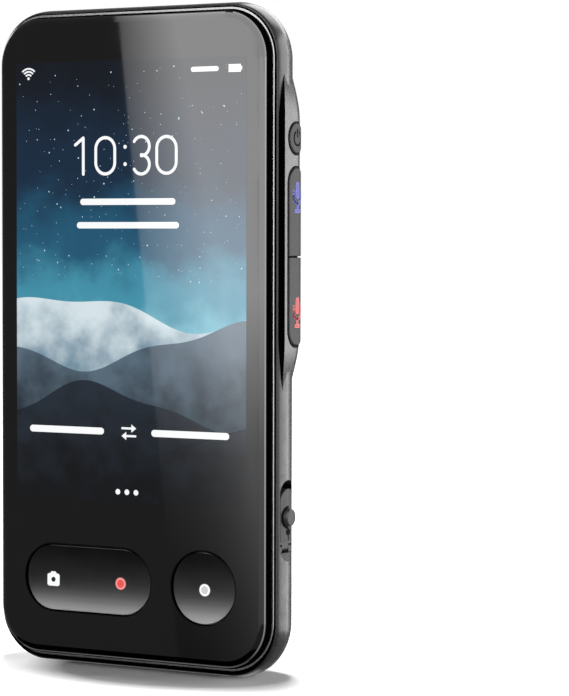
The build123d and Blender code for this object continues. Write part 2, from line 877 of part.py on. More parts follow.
with BuildPart() as home_key:
    with BuildSketch(depth_plane(key_set_back)):
        with Locations((home_x, key_row_z)):
            Circle(home_diameter / 2)
    extrude(amount=-(home_flange_depth - key_set_back))
    fillet(home_key.faces().sort_by(Axis.Y)[0].edges(), key_edge_round)
    add(dish_cutter(home_diameter - 2 * dish_rim, home_x, home_diameter), mode=Mode.SUBTRACT)
    with BuildSketch(depth_plane(home_flange_depth)):
        with Locations((home_x, key_row_z)):
            Circle(home_flange_radius)
    extrude(amount=-key_flange_thickness)
    with BuildSketch(depth_plane(home_flange_depth)):
        with Locations((home_x, key_row_z)):
            Circle(plunger_radius)
    extrude(amount=-(dome_top_depth - rest_gap - home_travel - home_flange_depth))
finish(home_key, "home_key")

with BuildPart() as key_carrier:
    with BuildSketch(depth_plane(glass_thickness)):
        with Locations((0, carrier_mid_z)):
            RectangleRounded(cavity_width - 4 * plate_gap, carrier_high - carrier_low, cavity_corner)
        with Locations((rocker_x, key_row_z)):
            SlotOverall(
                flange_length + 2 * window_gap, flange_height + 2 * window_gap, mode=Mode.SUBTRACT
            )
        with Locations((home_x, key_row_z)):
            Circle(home_flange_radius + window_gap, mode=Mode.SUBTRACT)
    extrude(amount=-(key_board_depth - glass_thickness))
    with BuildSketch(Plane.XY.offset(key_row_z - rocker_pin_length / 2)):
        with Locations((rocker_x, y_at(pin_depth))):
            Circle(rocker_pin_diameter / 2 + press_clearance)
    extrude(amount=rocker_pin_length, mode=Mode.SUBTRACT)
finish(key_carrier, "key_carrier")

with BuildPart() as rocker_pin:
    with BuildSketch(Plane.XY.offset(key_row_z - rocker_pin_length / 2)):
        with Locations((rocker_x, y_at(pin_depth))):
            Circle(rocker_pin_diameter / 2)
    extrude(amount=rocker_pin_length)
finish(rocker_pin, "rocker_pin")

with BuildPart() as front_key_board:
    with BuildSketch(depth_plane(key_board_depth)):
        with Locations((0, carrier_mid_z)):
            RectangleRounded(
                cavity_width - 6 * plate_gap,
                carrier_high - carrier_low - 2 * key_board_inset,
                cavity_corner,
            )
        # clear of the two lower cover screws
        with Locations((boss_x, boss_heights[0]), (-boss_x, boss_heights[0])):
            Circle(screw_head_radius + screw_head_room, mode=Mode.SUBTRACT)
    extrude(amount=-key_board_thickness)
finish(front_key_board, "front_key_board")

with BuildPart() as front_key_domes:
    with BuildSketch(depth_plane(key_board_depth)):
        with Locations(
            (rocker_x - plunger_offset, key_row_z),
            (rocker_x + plunger_offset, key_row_z),
            (home_x, key_row_z),
        ):
            Circle(dome_radius)
    extrude(amount=dome_height, taper=60)
finish(front_key_domes, "front_key_domes")

# ---------------------------------------------------------------- side keys


def side_key_blank(outline_low, outline_high):
    """A key body between two heights, its face following the platform but standing proud."""
    with BuildPart() as blank:
        with BuildSketch(Plane.XY.offset(outline_low)):
            add(platform_section(side_key_rise, 0, 0, 0))
        extrude(amount=outline_high - outline_low)
        with BuildSketch(Plane.YZ.offset(tab_inner_x)):
            with Locations((side_key_y, mic_keys_split)):
                SlotOverall(mic_keys_length, side_key_width, rotation=90)
            with Locations((side_key_y, power_z)):
                Circle(power_diameter / 2)
        extrude(amount=platform_x + platform_rise - tab_inner_x, mode=Mode.INTERSECT)
        fillet(blank.edges().group_by(Axis.X)[-1], side_key_round)
    return blank.part


def tab_blank(outline_low, outline_high):
    """The tabs that keep the key from falling out, behind the frame's wall."""
    with BuildPart() as blank:
        with BuildSketch(Plane.YZ.offset(tab_inner_x)):
            with Locations((side_key_y, mic_keys_split)):
                SlotOverall(mic_keys_length + 2 * tab_length, side_key_width, rotation=90)
            with Locations((side_key_y, power_z)):
                Rectangle(power_tab_width, power_diameter + 2 * tab_length)
        extrude(amount=tab_thickness)
        with BuildSketch(Plane.XY.offset(outline_low)):
            with Locations((tab_inner_x, side_key_y)):
                Rectangle(2 * side_key_width, 2 * side_key_width)
        extrude(amount=outline_high - outline_low, mode=Mode.INTERSECT)
    return blank.part


with BuildPart() as mic_key_upper:
    add(side_key_blank(mic_upper_low, mic_tab_high))
    add(tab_blank(mic_upper_low, mic_tab_high))
    with BuildSketch(Plane.YZ.offset(plunger_end_x)):
        with Locations((side_key_y, mic_upper_z)):
            Circle(side_plunger_radius)
    extrude(amount=side_plunger_length)
finish(mic_key_upper, "mic_key_upper")

with BuildPart() as mic_key_lower:
    add(side_key_blank(mic_tab_low, mic_lower_high))
    add(tab_blank(mic_tab_low, mic_lower_high))
    with BuildSketch(Plane.YZ.offset(plunger_end_x)):
        with Locations((side_key_y, mic_lower_z)):
            Circle(side_plunger_radius)
    extrude(amount=side_plunger_length)
finish(mic_key_lower, "mic_key_lower")

with BuildPart() as power_button:
    add(side_key_blank(power_low, power_high))
    add(tab_blank(power_low, power_high))
    with BuildSketch(Plane.YZ.offset(plunger_end_x)):
        with Locations((side_key_y, power_z)):
            Circle(side_plunger_radius)
    extrude(amount=side_plunger_length)
finish(power_button, "power_button")

with BuildPart() as side_switch_board:
    with BuildSketch(Plane.YZ.offset(cavity_x - switch_board_thickness)):
        with Locations((y_at(switch_board_mid), (switch_board_low + switch_board_high) / 2)):
            Rectangle(switch_board_width, switch_board_high - switch_board_low)
    extrude(amount=switch_board_thickness)
finish(side_switch_board, "side_switch_board")

with BuildPart() as side_switches:
    with BuildSketch(Plane.YZ.offset(cavity_x)):
        with Locations(*[(y_at(switch_mid_depth), z) for z in (mic_lower_z, mic_upper_z, power_z)]):
            Rectangle(switch_width, switch_length)
    extrude(amount=switch_top_x - switch_button_height - cavity_x)
    with BuildSketch(Plane.YZ.offset(cavity_x)):
        with Locations(*[(y_at(switch_mid_depth), z) for z in (mic_lower_z, mic_upper_z, power_z)]):
            Circle(switch_button_radius)
    extrude(amount=switch_top_x - cavity_x)
finish(side_switches, "side_switches")

# ---------------------------------------------------------------- port, socket and hinged cover

with BuildPart() as port_cover:
    with BuildSketch(Plane.YZ.offset(cover_inner_x)):
        with Locations((port_y, cover_round_z)):
            Circle(cover_width / 2)
        with Locations((port_y, (cover_round_z + cover_low) / 2)):
            Rectangle(cover_width, cover_round_z - cover_low)
    extrude(amount=half_width - cover_inner_x + knob_height)
    add(envelope.part, mode=Mode.INTERSECT)
    # thinner foot that clears the housing when the cover swings down
    with BuildSketch(Plane.YZ.offset(knuckle_x)):
        with Locations((port_y, hinge_z)):
            Rectangle(2 * cover_width, 2 * cover_step)
    extrude(amount=port_width, mode=Mode.SUBTRACT)
    # knuckle and its web
    with BuildSketch(Plane.YZ.offset(cover_inner_x)):
        with Locations((port_y, (hinge_z + cover_low) / 2)):
            Rectangle(2 * knuckle_half_width, cover_low - hinge_z)
    extrude(amount=knuckle_x - cover_inner_x)
    with BuildSketch(Plane.XZ.offset(-(port_y - knuckle_half_width))):
        with Locations((hinge_x, hinge_z)):
            Circle(knuckle_radius)
    extrude(amount=-2 * knuckle_half_width)
    with BuildSketch(Plane.XZ.offset(-(port_y - knuckle_half_width))):
        with Locations((hinge_x, hinge_z)):
            Circle(hinge_pin_diameter / 2 + pin_clearance)
    extrude(amount=-2 * knuckle_half_width, mode=Mode.SUBTRACT)
    # round knob outside, plug inside
    with BuildSketch(Plane.YZ.offset(hinge_x)):
        with Locations((port_y, knob_z)):
            Circle(knob_diameter / 2)
    extrude(amount=hinge_inset + knob_height)
    fillet(port_cover.edges().group_by(Axis.X)[-1], knob_round)
    with BuildSketch(Plane.YZ.offset(cover_inner_x)):
        with Locations((usb_y, usb_z)):
            SlotOverall(plug_length, plug_width, rotation=90)
    extrude(amount=-plug_height)
finish(port_cover, "port_cover")

with BuildPart() as port_hinge_block:
    with BuildSketch(Plane.YZ.offset(port_floor_x)):
        with Locations((port_y, port_z)):
            SlotOverall(port_length - 2 * block_gap, port_width - 2 * block_gap, rotation=90)
        with Locations((port_y, hinge_z - block_drop + port_length / 2)):
            Rectangle(2 * port_width, port_length, mode=Mode.SUBTRACT)
    extrude(amount=port_floor_depth + knob_height)
    # two ears either side of the knuckle
    for side in (-1, 1):
        ear_middle = port_y + side * (knuckle_half_width + ear_gap + ear_width / 2)
        with BuildSketch(Plane.XZ.offset(-(ear_middle - ear_width / 2))):
            with Locations((hinge_x, hinge_z)):
                Circle(knuckle_radius)
            with Locations((hinge_x, hinge_z - block_drop / 2)):
                Rectangle(2 * knuckle_radius, block_drop)
        extrude(amount=-ear_width)
    add(envelope.part, mode=Mode.INTERSECT)
    with BuildSketch(Plane.XZ.offset(-(port_y - port_width / 2))):
        with Locations((hinge_x, hinge_z)):
            Circle(hinge_pin_diameter / 2 + press_clearance)
    extrude(amount=-port_width, mode=Mode.SUBTRACT)
finish(port_hinge_block, "port_hinge_block")

with BuildPart() as port_hinge_pin:
    with BuildSketch(Plane.XZ.offset(-(port_y - cover_width / 2))):
        with Locations((hinge_x, hinge_z)):
            Circle(hinge_pin_diameter / 2)
    extrude(amount=-cover_width)
finish(port_hinge_pin, "port_hinge_pin")

with BuildPart() as usb_shell:
    with BuildSketch(Plane.YZ.offset(usb_back_x)):
        with Locations((usb_y, usb_z)):
            SlotOverall(usb_length, usb_height, rotation=90)
    extrude(amount=usb_body)
    with BuildSketch(Plane.YZ.offset(usb_back_x + usb_wall)):
        with Locations((usb_y, usb_z)):
            SlotOverall(usb_length - 2 * usb_wall, usb_height - 2 * usb_wall, rotation=90)
    extrude(amount=usb_body, mode=Mode.SUBTRACT)
finish(usb_shell, "usb_shell")

with BuildPart() as usb_tongue:
    with BuildSketch(Plane.YZ.offset(usb_back_x + usb_wall)):
        with Locations((usb_y, usb_z)):
            SlotOverall(usb_length - 2 * usb_wall, usb_height - 2 * usb_wall, rotation=90)
    extrude(amount=usb_tongue_root)
    with BuildSketch(Plane.YZ.offset(usb_back_x + usb_wall)):
        with Locations((usb_y, usb_z)):
            Rectangle(usb_tongue_thickness, usb_tongue_length)
    extrude(amount=usb_body - usb_wall - plug_height)
finish(usb_tongue, "usb_tongue")

with BuildPart() as usb_board:
    with BuildSketch(depth_plane(usb_board_depth)):
        with Locations(((usb_board_inner_x + usb_board_outer_x) / 2, usb_z)):
            Rectangle(usb_board_outer_x - usb_board_inner_x, usb_length + 2 * usb_board_margin)
    extrude(amount=-usb_board_thickness)
finish(usb_board, "usb_board")

# ---------------------------------------------------------------- camera

with BuildPart() as camera_lens_ring:
    with BuildSketch(Plane.XY.offset(lens_z)):
        with BuildLine():
            Polyline(
                (lens_mouth_radius, y_at(body_thickness - skin_thickness)),
                (lens_ring_radius, y_at(body_thickness - skin_thickness)),
                (lens_ring_radius, y_at(body_thickness + lens_ring_foot)),
                (lens_ring_top_radius + lens_ring_bevel, y_at(lens_top_depth - lens_ring_bevel)),
                (lens_ring_top_radius, y_at(lens_top_depth)),
                (lens_mouth_radius + lens_ring_bevel, y_at(lens_top_depth)),
                (lens_glass_radius + fit_gap, y_at(body_thickness + lens_lip)),
                (lens_glass_radius + fit_gap, y_at(lens_glass_back)),
                (lens_mouth_radius, y_at(lens_glass_back)),
                close=True,
            )
        make_face()
    revolve(axis=Axis((0, 0, lens_z), (0, 1, 0)))
finish(camera_lens_ring, "camera_lens_ring")

with BuildPart() as camera_lens:
    with BuildSketch(depth_plane(barrel_front)):
        with Locations((0, lens_z)):
            Circle(lens_glass_radius)
    extrude(amount=-lens_glass_thickness)
    fillet(camera_lens.faces().sort_by(Axis.Y)[-1].edges(), lens_edge_round)
finish(camera_lens, "camera_lens")

with BuildPart() as camera_module:
    with BuildSketch(depth_plane(camera_front - camera_height)):
        with Locations((0, lens_z)):
            RectangleRounded(camera_size, camera_size, camera_corner)
    extrude(amount=-camera_height)
finish(camera_module, "camera_module")

with BuildPart() as camera_barrel:
    with BuildSketch(depth_plane(camera_front)):
        with Locations((0, lens_z)):
            Circle(barrel_radius)
    extrude(amount=-(barrel_front - camera_front))
finish(camera_barrel, "camera_barrel")

# ---------------------------------------------------------------- speaker

with BuildPart() as speaker:
    with BuildSketch(depth_plane(horn_depth - speaker_thickness)):
        with Locations((0, speaker_mid_z)):
            RectangleRounded(speaker_width, speaker_length, speaker_corner)
    extrude(amount=-speaker_thickness)
    with BuildSketch(depth_plane(horn_depth)):
        with Locations((0, speaker_mid_z)):
            RectangleRounded(horn_width, horn_length, speaker_corner)
    extrude(amount=-horn_height)
    with BuildSketch(depth_plane(gasket_depth)):
        with Locations((0, speaker_mid_z)):
            RectangleRounded(horn_width - 2 * horn_wall, horn_length - 2 * horn_wall, horn_corner)
    extrude(amount=horn_recess, mode=Mode.SUBTRACT)
finish(speaker, "speaker")

with BuildPart() as speaker_gasket:
    with BuildSketch(depth_plane(gasket_depth)):
        with Locations((0, speaker_mid_z)):
            RectangleRounded(horn_width, horn_length, speaker_corner)
            RectangleRounded(
                horn_width - 2 * horn_wall,
                horn_length - 2 * horn_wall,
                horn_corner,
                mode=Mode.SUBTRACT,
            )
    extrude(amount=-gasket_thickness)
finish(speaker_gasket, "speaker_gasket")

with BuildPart() as speaker_mesh:
    with BuildSketch(depth_plane(body_thickness - skin_thickness - mesh_thickness)):
        with Locations((0, sound_slot_z)):
            SlotOverall(sound_slot_width - 2 * fit_gap, sound_slot_height - 2 * fit_gap)
    extrude(amount=-mesh_thickness)
finish(speaker_mesh, "speaker_mesh")

# ---------------------------------------------------------------- battery and boards

with BuildPart() as battery_tape:
    with BuildSketch(depth_plane(plate_back)):
        with Locations((-tape_x, battery_mid_z), (tape_x, battery_mid_z)):
            Rectangle(tape_width, battery_length - 2 * tape_end_gap)
    extrude(amount=-tape_thickness)
finish(battery_tape, "battery_tape")

with BuildPart() as battery:
    with BuildSketch(depth_plane(battery_depth)):
        with Locations((0, battery_mid_z)):
            Rectangle(battery_width, battery_length)
    extrude(amount=-battery_thickness)
    fillet(battery.edges().filter_by(Axis.Z), battery_round)
finish(battery, "battery")

with BuildPart() as main_board:
    with BuildSketch(depth_plane(board_depth)):
        with Locations((0, board_mid_z)):
            RectangleRounded(board_width, board_length, board_corner)
        for z in standoff_heights:
            with Locations((standoff_x, z), (-standoff_x, z)):
                Circle(screw_radius + fit_gap, mode=Mode.SUBTRACT)
    extrude(amount=-board_thickness)
finish(main_board, "main_board")

with BuildPart() as rf_shield:
    with BuildSketch(depth_plane(board_back)):
        with Locations((shield_x, shield_z)):
            RectangleRounded(shield_width, shield_length, shield_corner)
    extrude(amount=-shield_height)
    with BuildSketch(depth_plane(board_back)):
        with Locations((shield_x, shield_z)):
            RectangleRounded(
                shield_width - 2 * shield_wall,
                shield_length - 2 * shield_wall,
                shield_corner - shield_wall,
            )
    extrude(amount=-(shield_height - shield_wall), mode=Mode.SUBTRACT)
finish(rf_shield, "rf_shield")

with BuildPart() as processor:
    with BuildSketch(depth_plane(board_back)):
        with Locations((shield_x, shield_z)):
            Rectangle(processor_size, processor_size)
    extrude(amount=-processor_height)
finish(processor, "processor")

with BuildPart() as memory_chips:
    with BuildSketch(depth_plane(board_back)):
        with Locations((chip_x, chip_z), (chip_x + chip_spacing, chip_z), (chip_x, chip_low_z)):
            Rectangle(chip_width, chip_length)
    extrude(amount=-chip_height)
finish(memory_chips, "memory_chips")

with BuildPart() as board_connectors:
    with BuildSketch(depth_plane(board_back)):
        with Locations((0, connector_z), (lead_x, connector_z)):
            Rectangle(connector_width, connector_length)
    extrude(amount=-connector_height)
finish(board_connectors, "board_connectors")

with BuildPart() as battery_lead:
    with BuildSketch(depth_plane(board_back + connector_height)):
        with Locations((lead_x, (battery_high + connector_z) / 2)):
            Rectangle(lead_width, connector_z - battery_high)
    extrude(amount=-lead_thickness)
finish(battery_lead, "battery_lead")

with BuildPart() as microphones:
    with BuildSketch(depth_plane(board_back)):
        with Locations((-microphone_x, microphone_high_z), (microphone_x, microphone_low_z)):
            Rectangle(microphone_width, microphone_length)
    extrude(amount=-microphone_height)
finish(microphones, "microphones")

with BuildPart() as antenna_flex:
    with BuildSketch(Plane.XY.offset(cavity_high - antenna_thickness)):
        with Locations((antenna_x, y_at(ledge_back + fit_gap + antenna_height / 2))):
            Rectangle(antenna_width, antenna_height)
    extrude(amount=antenna_thickness)
finish(antenna_flex, "antenna_flex")

with BuildPart() as display_flex:
    with BuildSketch(Plane.YZ.offset(-flex_width / 2)):
        with BuildLine():
            Polyline(
                (y_at(flex_exit_depth), panel_low),
                (y_at(flex_exit_depth), flex_low),
                (y_at(plate_back + flex_thickness), flex_low),
                (y_at(plate_back + flex_thickness), flex_end),
                (y_at(plate_back), flex_end),
                (y_at(plate_back), flex_low + flex_thickness),
                (y_at(flex_exit_depth + flex_thickness), flex_low + flex_thickness),
                (y_at(flex_exit_depth + flex_thickness), panel_low),
                close=True,
            )
        make_face()
    extrude(amount=flex_width)
finish(display_flex, "display_flex")

# ---------------------------------------------------------------- screws


def screw(depth, length, direction):
    """A pan-head screw whose head starts at a depth; direction 1 points it to the back."""
    with BuildPart() as one:
        with BuildSketch(depth_plane(depth)):
            Circle(screw_head_radius)
        extrude(amount=-direction * screw_head_thickness)
        with BuildSketch(depth_plane(depth)):
            Circle(screw_radius)
        extrude(amount=-direction * length)
    return one.part


with BuildPart() as cover_screws:
    for z in boss_heights:
        with Locations((boss_x, 0, z), (-boss_x, 0, z)):
            add(screw(plate_depth, screw_length, 1))
finish(cover_screws, "cover_screws")

with BuildPart() as board_screws:
    for z in standoff_heights:
        with Locations((standoff_x, 0, z), (-standoff_x, 0, z)):
            add(screw(board_back + screw_head_thickness, board_screw_length, -1))
finish(board_screws, "board_screws")
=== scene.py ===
import json
from math import cos, pi, radians, sin, sqrt

import bmesh
import bpy
from mathutils import Matrix, Quaternion, Vector
from mathutils.bvhtree import BVHTree


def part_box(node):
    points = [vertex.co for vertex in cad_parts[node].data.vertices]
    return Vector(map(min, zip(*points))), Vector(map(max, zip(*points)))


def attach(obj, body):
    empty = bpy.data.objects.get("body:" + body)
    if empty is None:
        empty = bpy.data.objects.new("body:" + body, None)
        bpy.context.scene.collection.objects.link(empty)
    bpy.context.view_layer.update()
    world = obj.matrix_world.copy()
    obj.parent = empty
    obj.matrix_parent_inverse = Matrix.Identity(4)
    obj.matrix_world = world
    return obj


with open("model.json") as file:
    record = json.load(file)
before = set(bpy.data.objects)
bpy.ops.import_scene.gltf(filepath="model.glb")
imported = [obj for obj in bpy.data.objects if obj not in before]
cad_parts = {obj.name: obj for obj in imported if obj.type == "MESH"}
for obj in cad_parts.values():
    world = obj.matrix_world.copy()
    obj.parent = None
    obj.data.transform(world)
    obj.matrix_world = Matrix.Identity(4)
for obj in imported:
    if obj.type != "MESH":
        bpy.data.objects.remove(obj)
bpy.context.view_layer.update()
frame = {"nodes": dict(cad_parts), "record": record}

MM = 0.001

# ---------------------------------------------------------------- places taken from the frame

GLASS_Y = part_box("front_glass")[0].y
PANEL_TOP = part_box("display_panel")[1].z
ROCKER_LOW, ROCKER_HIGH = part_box("rocker_key")
HOME_LOW, HOME_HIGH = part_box("home_key")
MIC_UPPER_LOW, MIC_UPPER_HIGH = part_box("mic_key_upper")
MIC_LOWER_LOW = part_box("mic_key_lower")[0]
POWER_LOW, POWER_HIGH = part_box("power_button")
COVER_LOW, COVER_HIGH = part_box("port_cover")
GRILLE_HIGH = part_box("speaker_grille")[1]
LENS_LOW, LENS_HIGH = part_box("camera_lens")

PANEL_TOP_BORDER = 1.4 * MM
SCREEN_WIDTH = 53.1 * MM
SCREEN_HEIGHT = 86.4 * MM
SCREEN_Z = PANEL_TOP - PANEL_TOP_BORDER - SCREEN_HEIGHT / 2
SCREEN_LEFT = -SCREEN_WIDTH / 2
SCREEN_LOW = SCREEN_Z - SCREEN_HEIGHT / 2
KEY_Z = (ROCKER_LOW.z + ROCKER_HIGH.z) / 2
ROCKER_X = (ROCKER_LOW.x + ROCKER_HIGH.x) / 2
HOME_X = (HOME_LOW.x + HOME_HIGH.x) / 2
FRONT_KEY_HEIGHT = 13.0 * MM
FRONT_KEY_GAP = 0.25 * MM
FRONT_KEY_FLANGE = (ROCKER_HIGH.z - ROCKER_LOW.z - FRONT_KEY_HEIGHT) / 2
SIDE_KEY_Y = (MIC_UPPER_LOW.y + MIC_UPPER_HIGH.y) / 2
SIDE_KEY_WIDTH = 6.0 * MM
MIC_KEYS_LENGTH = 33.9 * MM
MIC_KEYS_Z = (MIC_LOWER_LOW.z + MIC_UPPER_HIGH.z) / 2
POWER_DIAMETER = 5.6 * MM
POWER_Z = (POWER_LOW.z + POWER_HIGH.z) / 2
COVER_Y = (COVER_LOW.y + COVER_HIGH.y) / 2
KNOB_Z = COVER_HIGH.z - 5.5 * MM
KNOB_RADIUS = 1.675 * MM

PRINT_LIFT = 0.012 * MM  # how far printed marks stand off the surface they are on
PRINT_THICKNESS = 0.02 * MM
THIN_PRINT = 0.01 * MM
LAYER = 0.004 * MM  # from one layer of the picture, or of the lens, to the next
MARK_LIFT = 5 * LAYER  # how far the lit marks stand in front of the picture's first layer
CORE_LIFT = 1.5 * PRINT_THICKNESS  # how far a mark's inner part stands on its outer part

# ---------------------------------------------------------------- camera

PHOTO_WIDTH, PHOTO_HEIGHT = 569, 696
FOCAL_PIXELS = 2669.0
SENSOR = 36.0
CAMERA_AT = Vector((281.546, -447.073, 84.986)) * MM
CAMERA_YAW = radians(-29.27)
CAMERA_PITCH = radians(2.39)
CAMERA_ROLL = radians(-0.10)


def camera_axes():
    """Right, up and forward of the photograph's camera."""
    level = cos(CAMERA_PITCH)
    forward = Vector((sin(CAMERA_YAW) * level, cos(CAMERA_YAW) * level, -sin(CAMERA_PITCH)))
    right = forward.cross(Vector((0, 0, 1))).normalized()
    up = right.cross(forward)
    turn = Quaternion(forward, CAMERA_ROLL)
    return turn @ right, turn @ up, forward


def make_camera():
    right, up, forward = camera_axes()
    data = bpy.data.cameras.new("camera")
    data.sensor_width = SENSOR
    data.lens = FOCAL_PIXELS * SENSOR / PHOTO_HEIGHT
    data.clip_start = 0.01
    data.clip_end = 50
    camera = bpy.data.objects.new("camera", data)
    bpy.context.scene.collection.objects.link(camera)
    camera.matrix_world = Matrix(
        (
            (right.x, up.x, -forward.x, CAMERA_AT.x),
            (right.y, up.y, -forward.y, CAMERA_AT.y),
            (right.z, up.z, -forward.z, CAMERA_AT.z),
            (0, 0, 0, 1),
        )
    )
    bpy.context.scene.camera = camera


def pixel_ray(u, v):
    """Direction from the camera through a pixel of the photograph."""
    right, up, forward = camera_axes()
    across = (u - PHOTO_WIDTH / 2) / FOCAL_PIXELS
    down = (v - PHOTO_HEIGHT / 2) / FOCAL_PIXELS
    return (forward + right * across - up * down).normalized()


# ---------------------------------------------------------------- materials


class Shader:
    """A node material, with short ways to add what the materials here are made of."""

    def __init__(self, name):
        self.material = bpy.data.materials.new(name)
        self.material.use_nodes = True
        self.nodes = self.material.node_tree.nodes
        self.links = self.material.node_tree.links

    def node(self, kind, **values):
        made = self.nodes.new(kind)
        for key, value in values.items():
            setattr(made, key, value)
        return made

    def link(self, output, socket):
        self.links.new(output, socket)

    def maths(self, operation, *values):
        """A Math node on numbers and other nodes' outputs."""
        node = self.node("ShaderNodeMath", operation=operation)
        for place, value in enumerate(values):
            if isinstance(value, (int, float)):
                node.inputs[place].default_value = value
            else:
                self.link(value, node.inputs[place])
        return node.outputs["Value"]

    def ramp(self, value, stops, interpolation="LINEAR"):
        """Turns a value between 0 and 1 into a level or a colour, through (place, result) stops."""
        ramp = self.node("ShaderNodeValToRGB")
        ramp.color_ramp.interpolation = interpolation
        elements = ramp.color_ramp.elements
        while len(elements) > 1:
            elements.remove(elements[-1])
        for place, (position, result) in enumerate(stops):
            element = elements[0] if place == 0 else elements.new(position)
            element.position = position
            colour = result if isinstance(result, tuple) else (result, result, result)
            element.color = (*colour, 1.0)
        self.link(value, ramp.inputs["Fac"])
        return ramp.outputs["Color"]


class Look(Shader):
    """The material of a piece, on the Principled shader."""

    def __init__(self, name, colour, roughness, metallic=0.0):
        super().__init__(name)
        self.shader = self.nodes["Principled BSDF"]
        self.colour = colour
        self.roughness = roughness
        self.set("Base Color", (*colour, 1.0))
        self.set("Roughness", roughness)
        self.set("Metallic", metallic)
        self.coords = self.node("ShaderNodeTexCoord")

    def set(self, socket, value):
        self.shader.inputs[socket].default_value = value

    def feed(self, socket, output):
        """Lets a value that varies over the surface drive the shader."""
        self.link(output, self.shader.inputs[socket])

    def axis(self, name, space="Object"):
        """One coordinate of the point on the surface, or of its normal."""
        split = self.node("ShaderNodeSeparateXYZ")
        self.link(self.coords.outputs[space], split.inputs["Vector"])
        return split.outputs[name]

    def noise(self, size, detail=2.0):
        """Noise with features about this large, in metres, in the object's own space."""
        mapping = self.node("ShaderNodeMapping")
        mapping.inputs["Scale"].default_value = Vector((1, 1, 1)) / size
        noise = self.node("ShaderNodeTexNoise")
        noise.inputs["Scale"].default_value = 1.0
        noise.inputs["Detail"].default_value = detail
        self.link(self.coords.outputs["Object"], mapping.inputs["Vector"])
        self.link(mapping.outputs["Vector"], noise.inputs["Vector"])
        return noise.outputs["Fac"]

    def spread(self, value, low, high, from_low=0.3, from_high=0.7):
        """Brings a value from one range to another; noise mostly lies between 0.3 and 0.7."""
        ranged = self.node("ShaderNodeMapRange")
        ranged.inputs["From Min"].default_value = from_low
        ranged.inputs["From Max"].default_value = from_high
        ranged.inputs["To Min"].default_value = low
        ranged.inputs["To Max"].default_value = high
        self.link(value, ranged.inputs["Value"])
        return ranged.outputs["Result"]

    def blend(self, share, low, high):
        """Colours the surface between two colours, by a share between 0 and 1."""
        mix = self.node("ShaderNodeMix", data_type="RGBA")
        mix.inputs["A"].default_value = (*low, 1)
        mix.inputs["B"].default_value = (*high, 1)
        self.link(share, mix.inputs["Factor"])
        self.feed("Base Color", mix.outputs["Result"])
        return self

    def vary_roughness(self, size, amount):
        low, high = self.roughness - amount, self.roughness + amount
        self.feed("Roughness", self.spread(self.noise(size, 3.0), low, high))
        return self

    def vary_colour(self, size, share):
        low = [c * (1 - share) for c in self.colour]
        high = [min(1, c * (1 + share)) for c in self.colour]
        return self.blend(self.spread(self.noise(size, 3.0), 0, 1), low, high)

    def grain(self, size, depth, strength=1.0):
        bump = self.node("ShaderNodeBump")
        bump.inputs["Strength"].default_value = strength
        bump.inputs["Distance"].default_value = depth
        self.link(self.noise(size), bump.inputs["Height"])
        self.feed("Normal", bump.outputs["Normal"])
        return self

    def paint_shade_by_facing(self, stops, specular=0.5):
        """Paints shade: scales colour and shine down by a ramp over how far the surface faces the
        front.
        """
        share = self.ramp(self.maths("MULTIPLY", self.axis("Y", "Normal"), -1.0), stops)
        self.feed("Specular IOR Level", self.maths("MULTIPLY", share, specular))
        return self.blend(share, (0.0008, 0.0008, 0.0008), self.colour)


def glass_look():
    """Black glass, polished; painted shade takes the colour and shine off its rounded edge where
    that turns more than about 50° from the front, so that part shows black.
    """
    look = Look("black_glass", (0.0008, 0.0008, 0.0009), 0.02)
    look.set("IOR", 1.52)
    look.vary_roughness(9 * MM, 0.008)
    return look.paint_shade_by_facing([(0.0, 0.0), (0.61, 0.0), (0.66, 1.0)])


def frame_look():
    """Satin black plastic, with painted shade that darkens it and takes its shine where it faces
    the front.
    """
    look = Look("satin_black_frame_painted_shade", (0.028, 0.028, 0.029), 0.27).vary_roughness(1.4 * MM, 0.03)
    stops = [
        (0.0, 0.93), (0.26, 0.74), (0.42, 0.62), (0.60, 0.40),
        (0.84, 0.14), (0.93, 0.06), (0.985, 0.0),
    ]
    return look.paint_shade_by_facing(stops, 0.68)


def cover_look():
    look = Look("textured_black_cover", (0.016, 0.016, 0.017), 0.36)
    return look.vary_colour(0.6 * MM, 0.5).grain(0.5 * MM, 0.09 * MM)


def grille_look():
    look = Look("grey_grille_plastic", (0.15, 0.15, 0.153), 0.42)
    return look.vary_colour(2.2 * MM, 0.06).grain(0.15 * MM, 0.006 * MM, 0.5)


def key_look():
    """Satin black keys, with a painted reflection that turns them grey towards their lower edge."""
    look = Look("satin_key_black_painted_reflection", (0.42, 0.42, 0.425), 0.25).vary_roughness(3 * MM, 0.02)
    look.set("Specular IOR Level", 0.4)
    # Painted reflection: base colour runs from black at the keys' middle to grey at their lower
    # edge
    down = look.spread(look.axis("Z"), 0.0, 1.0, KEY_Z, KEY_Z - 6.6 * MM)
    stops = [
        (0.0, 0.0), (0.15, 0.01), (0.3, 0.035), (0.48, 0.138),
        (0.67, 0.374), (0.85, 0.733), (1.0, 1.0),
    ]
    return look.blend(look.ramp(down, stops), (0.0008, 0.0008, 0.0009), look.colour)


def side_key_look():
    look = Look("grey_side_key", (0.03, 0.03, 0.032), 0.42)
    look.set("Specular IOR Level", 0.17)
    return look.vary_colour(1.2 * MM, 0.05).grain(0.1 * MM, 0.002 * MM, 0.4)


def door_look():
    """The soft port cover, a little duller than the frame round it."""
    look = Look("port_cover_rubber", (0.02, 0.02, 0.021), 0.45)
    look.set("Specular IOR Level", 0.3)
    return look.vary_colour(1.2 * MM, 0.08).grain(0.15 * MM, 0.004 * MM, 0.5)


def ring_look():
    look = Look("polished_ring_metal", (0.185, 0.185, 0.188), 0.2, 1.0)
    return look.vary_roughness(0.6 * MM, 0.05)


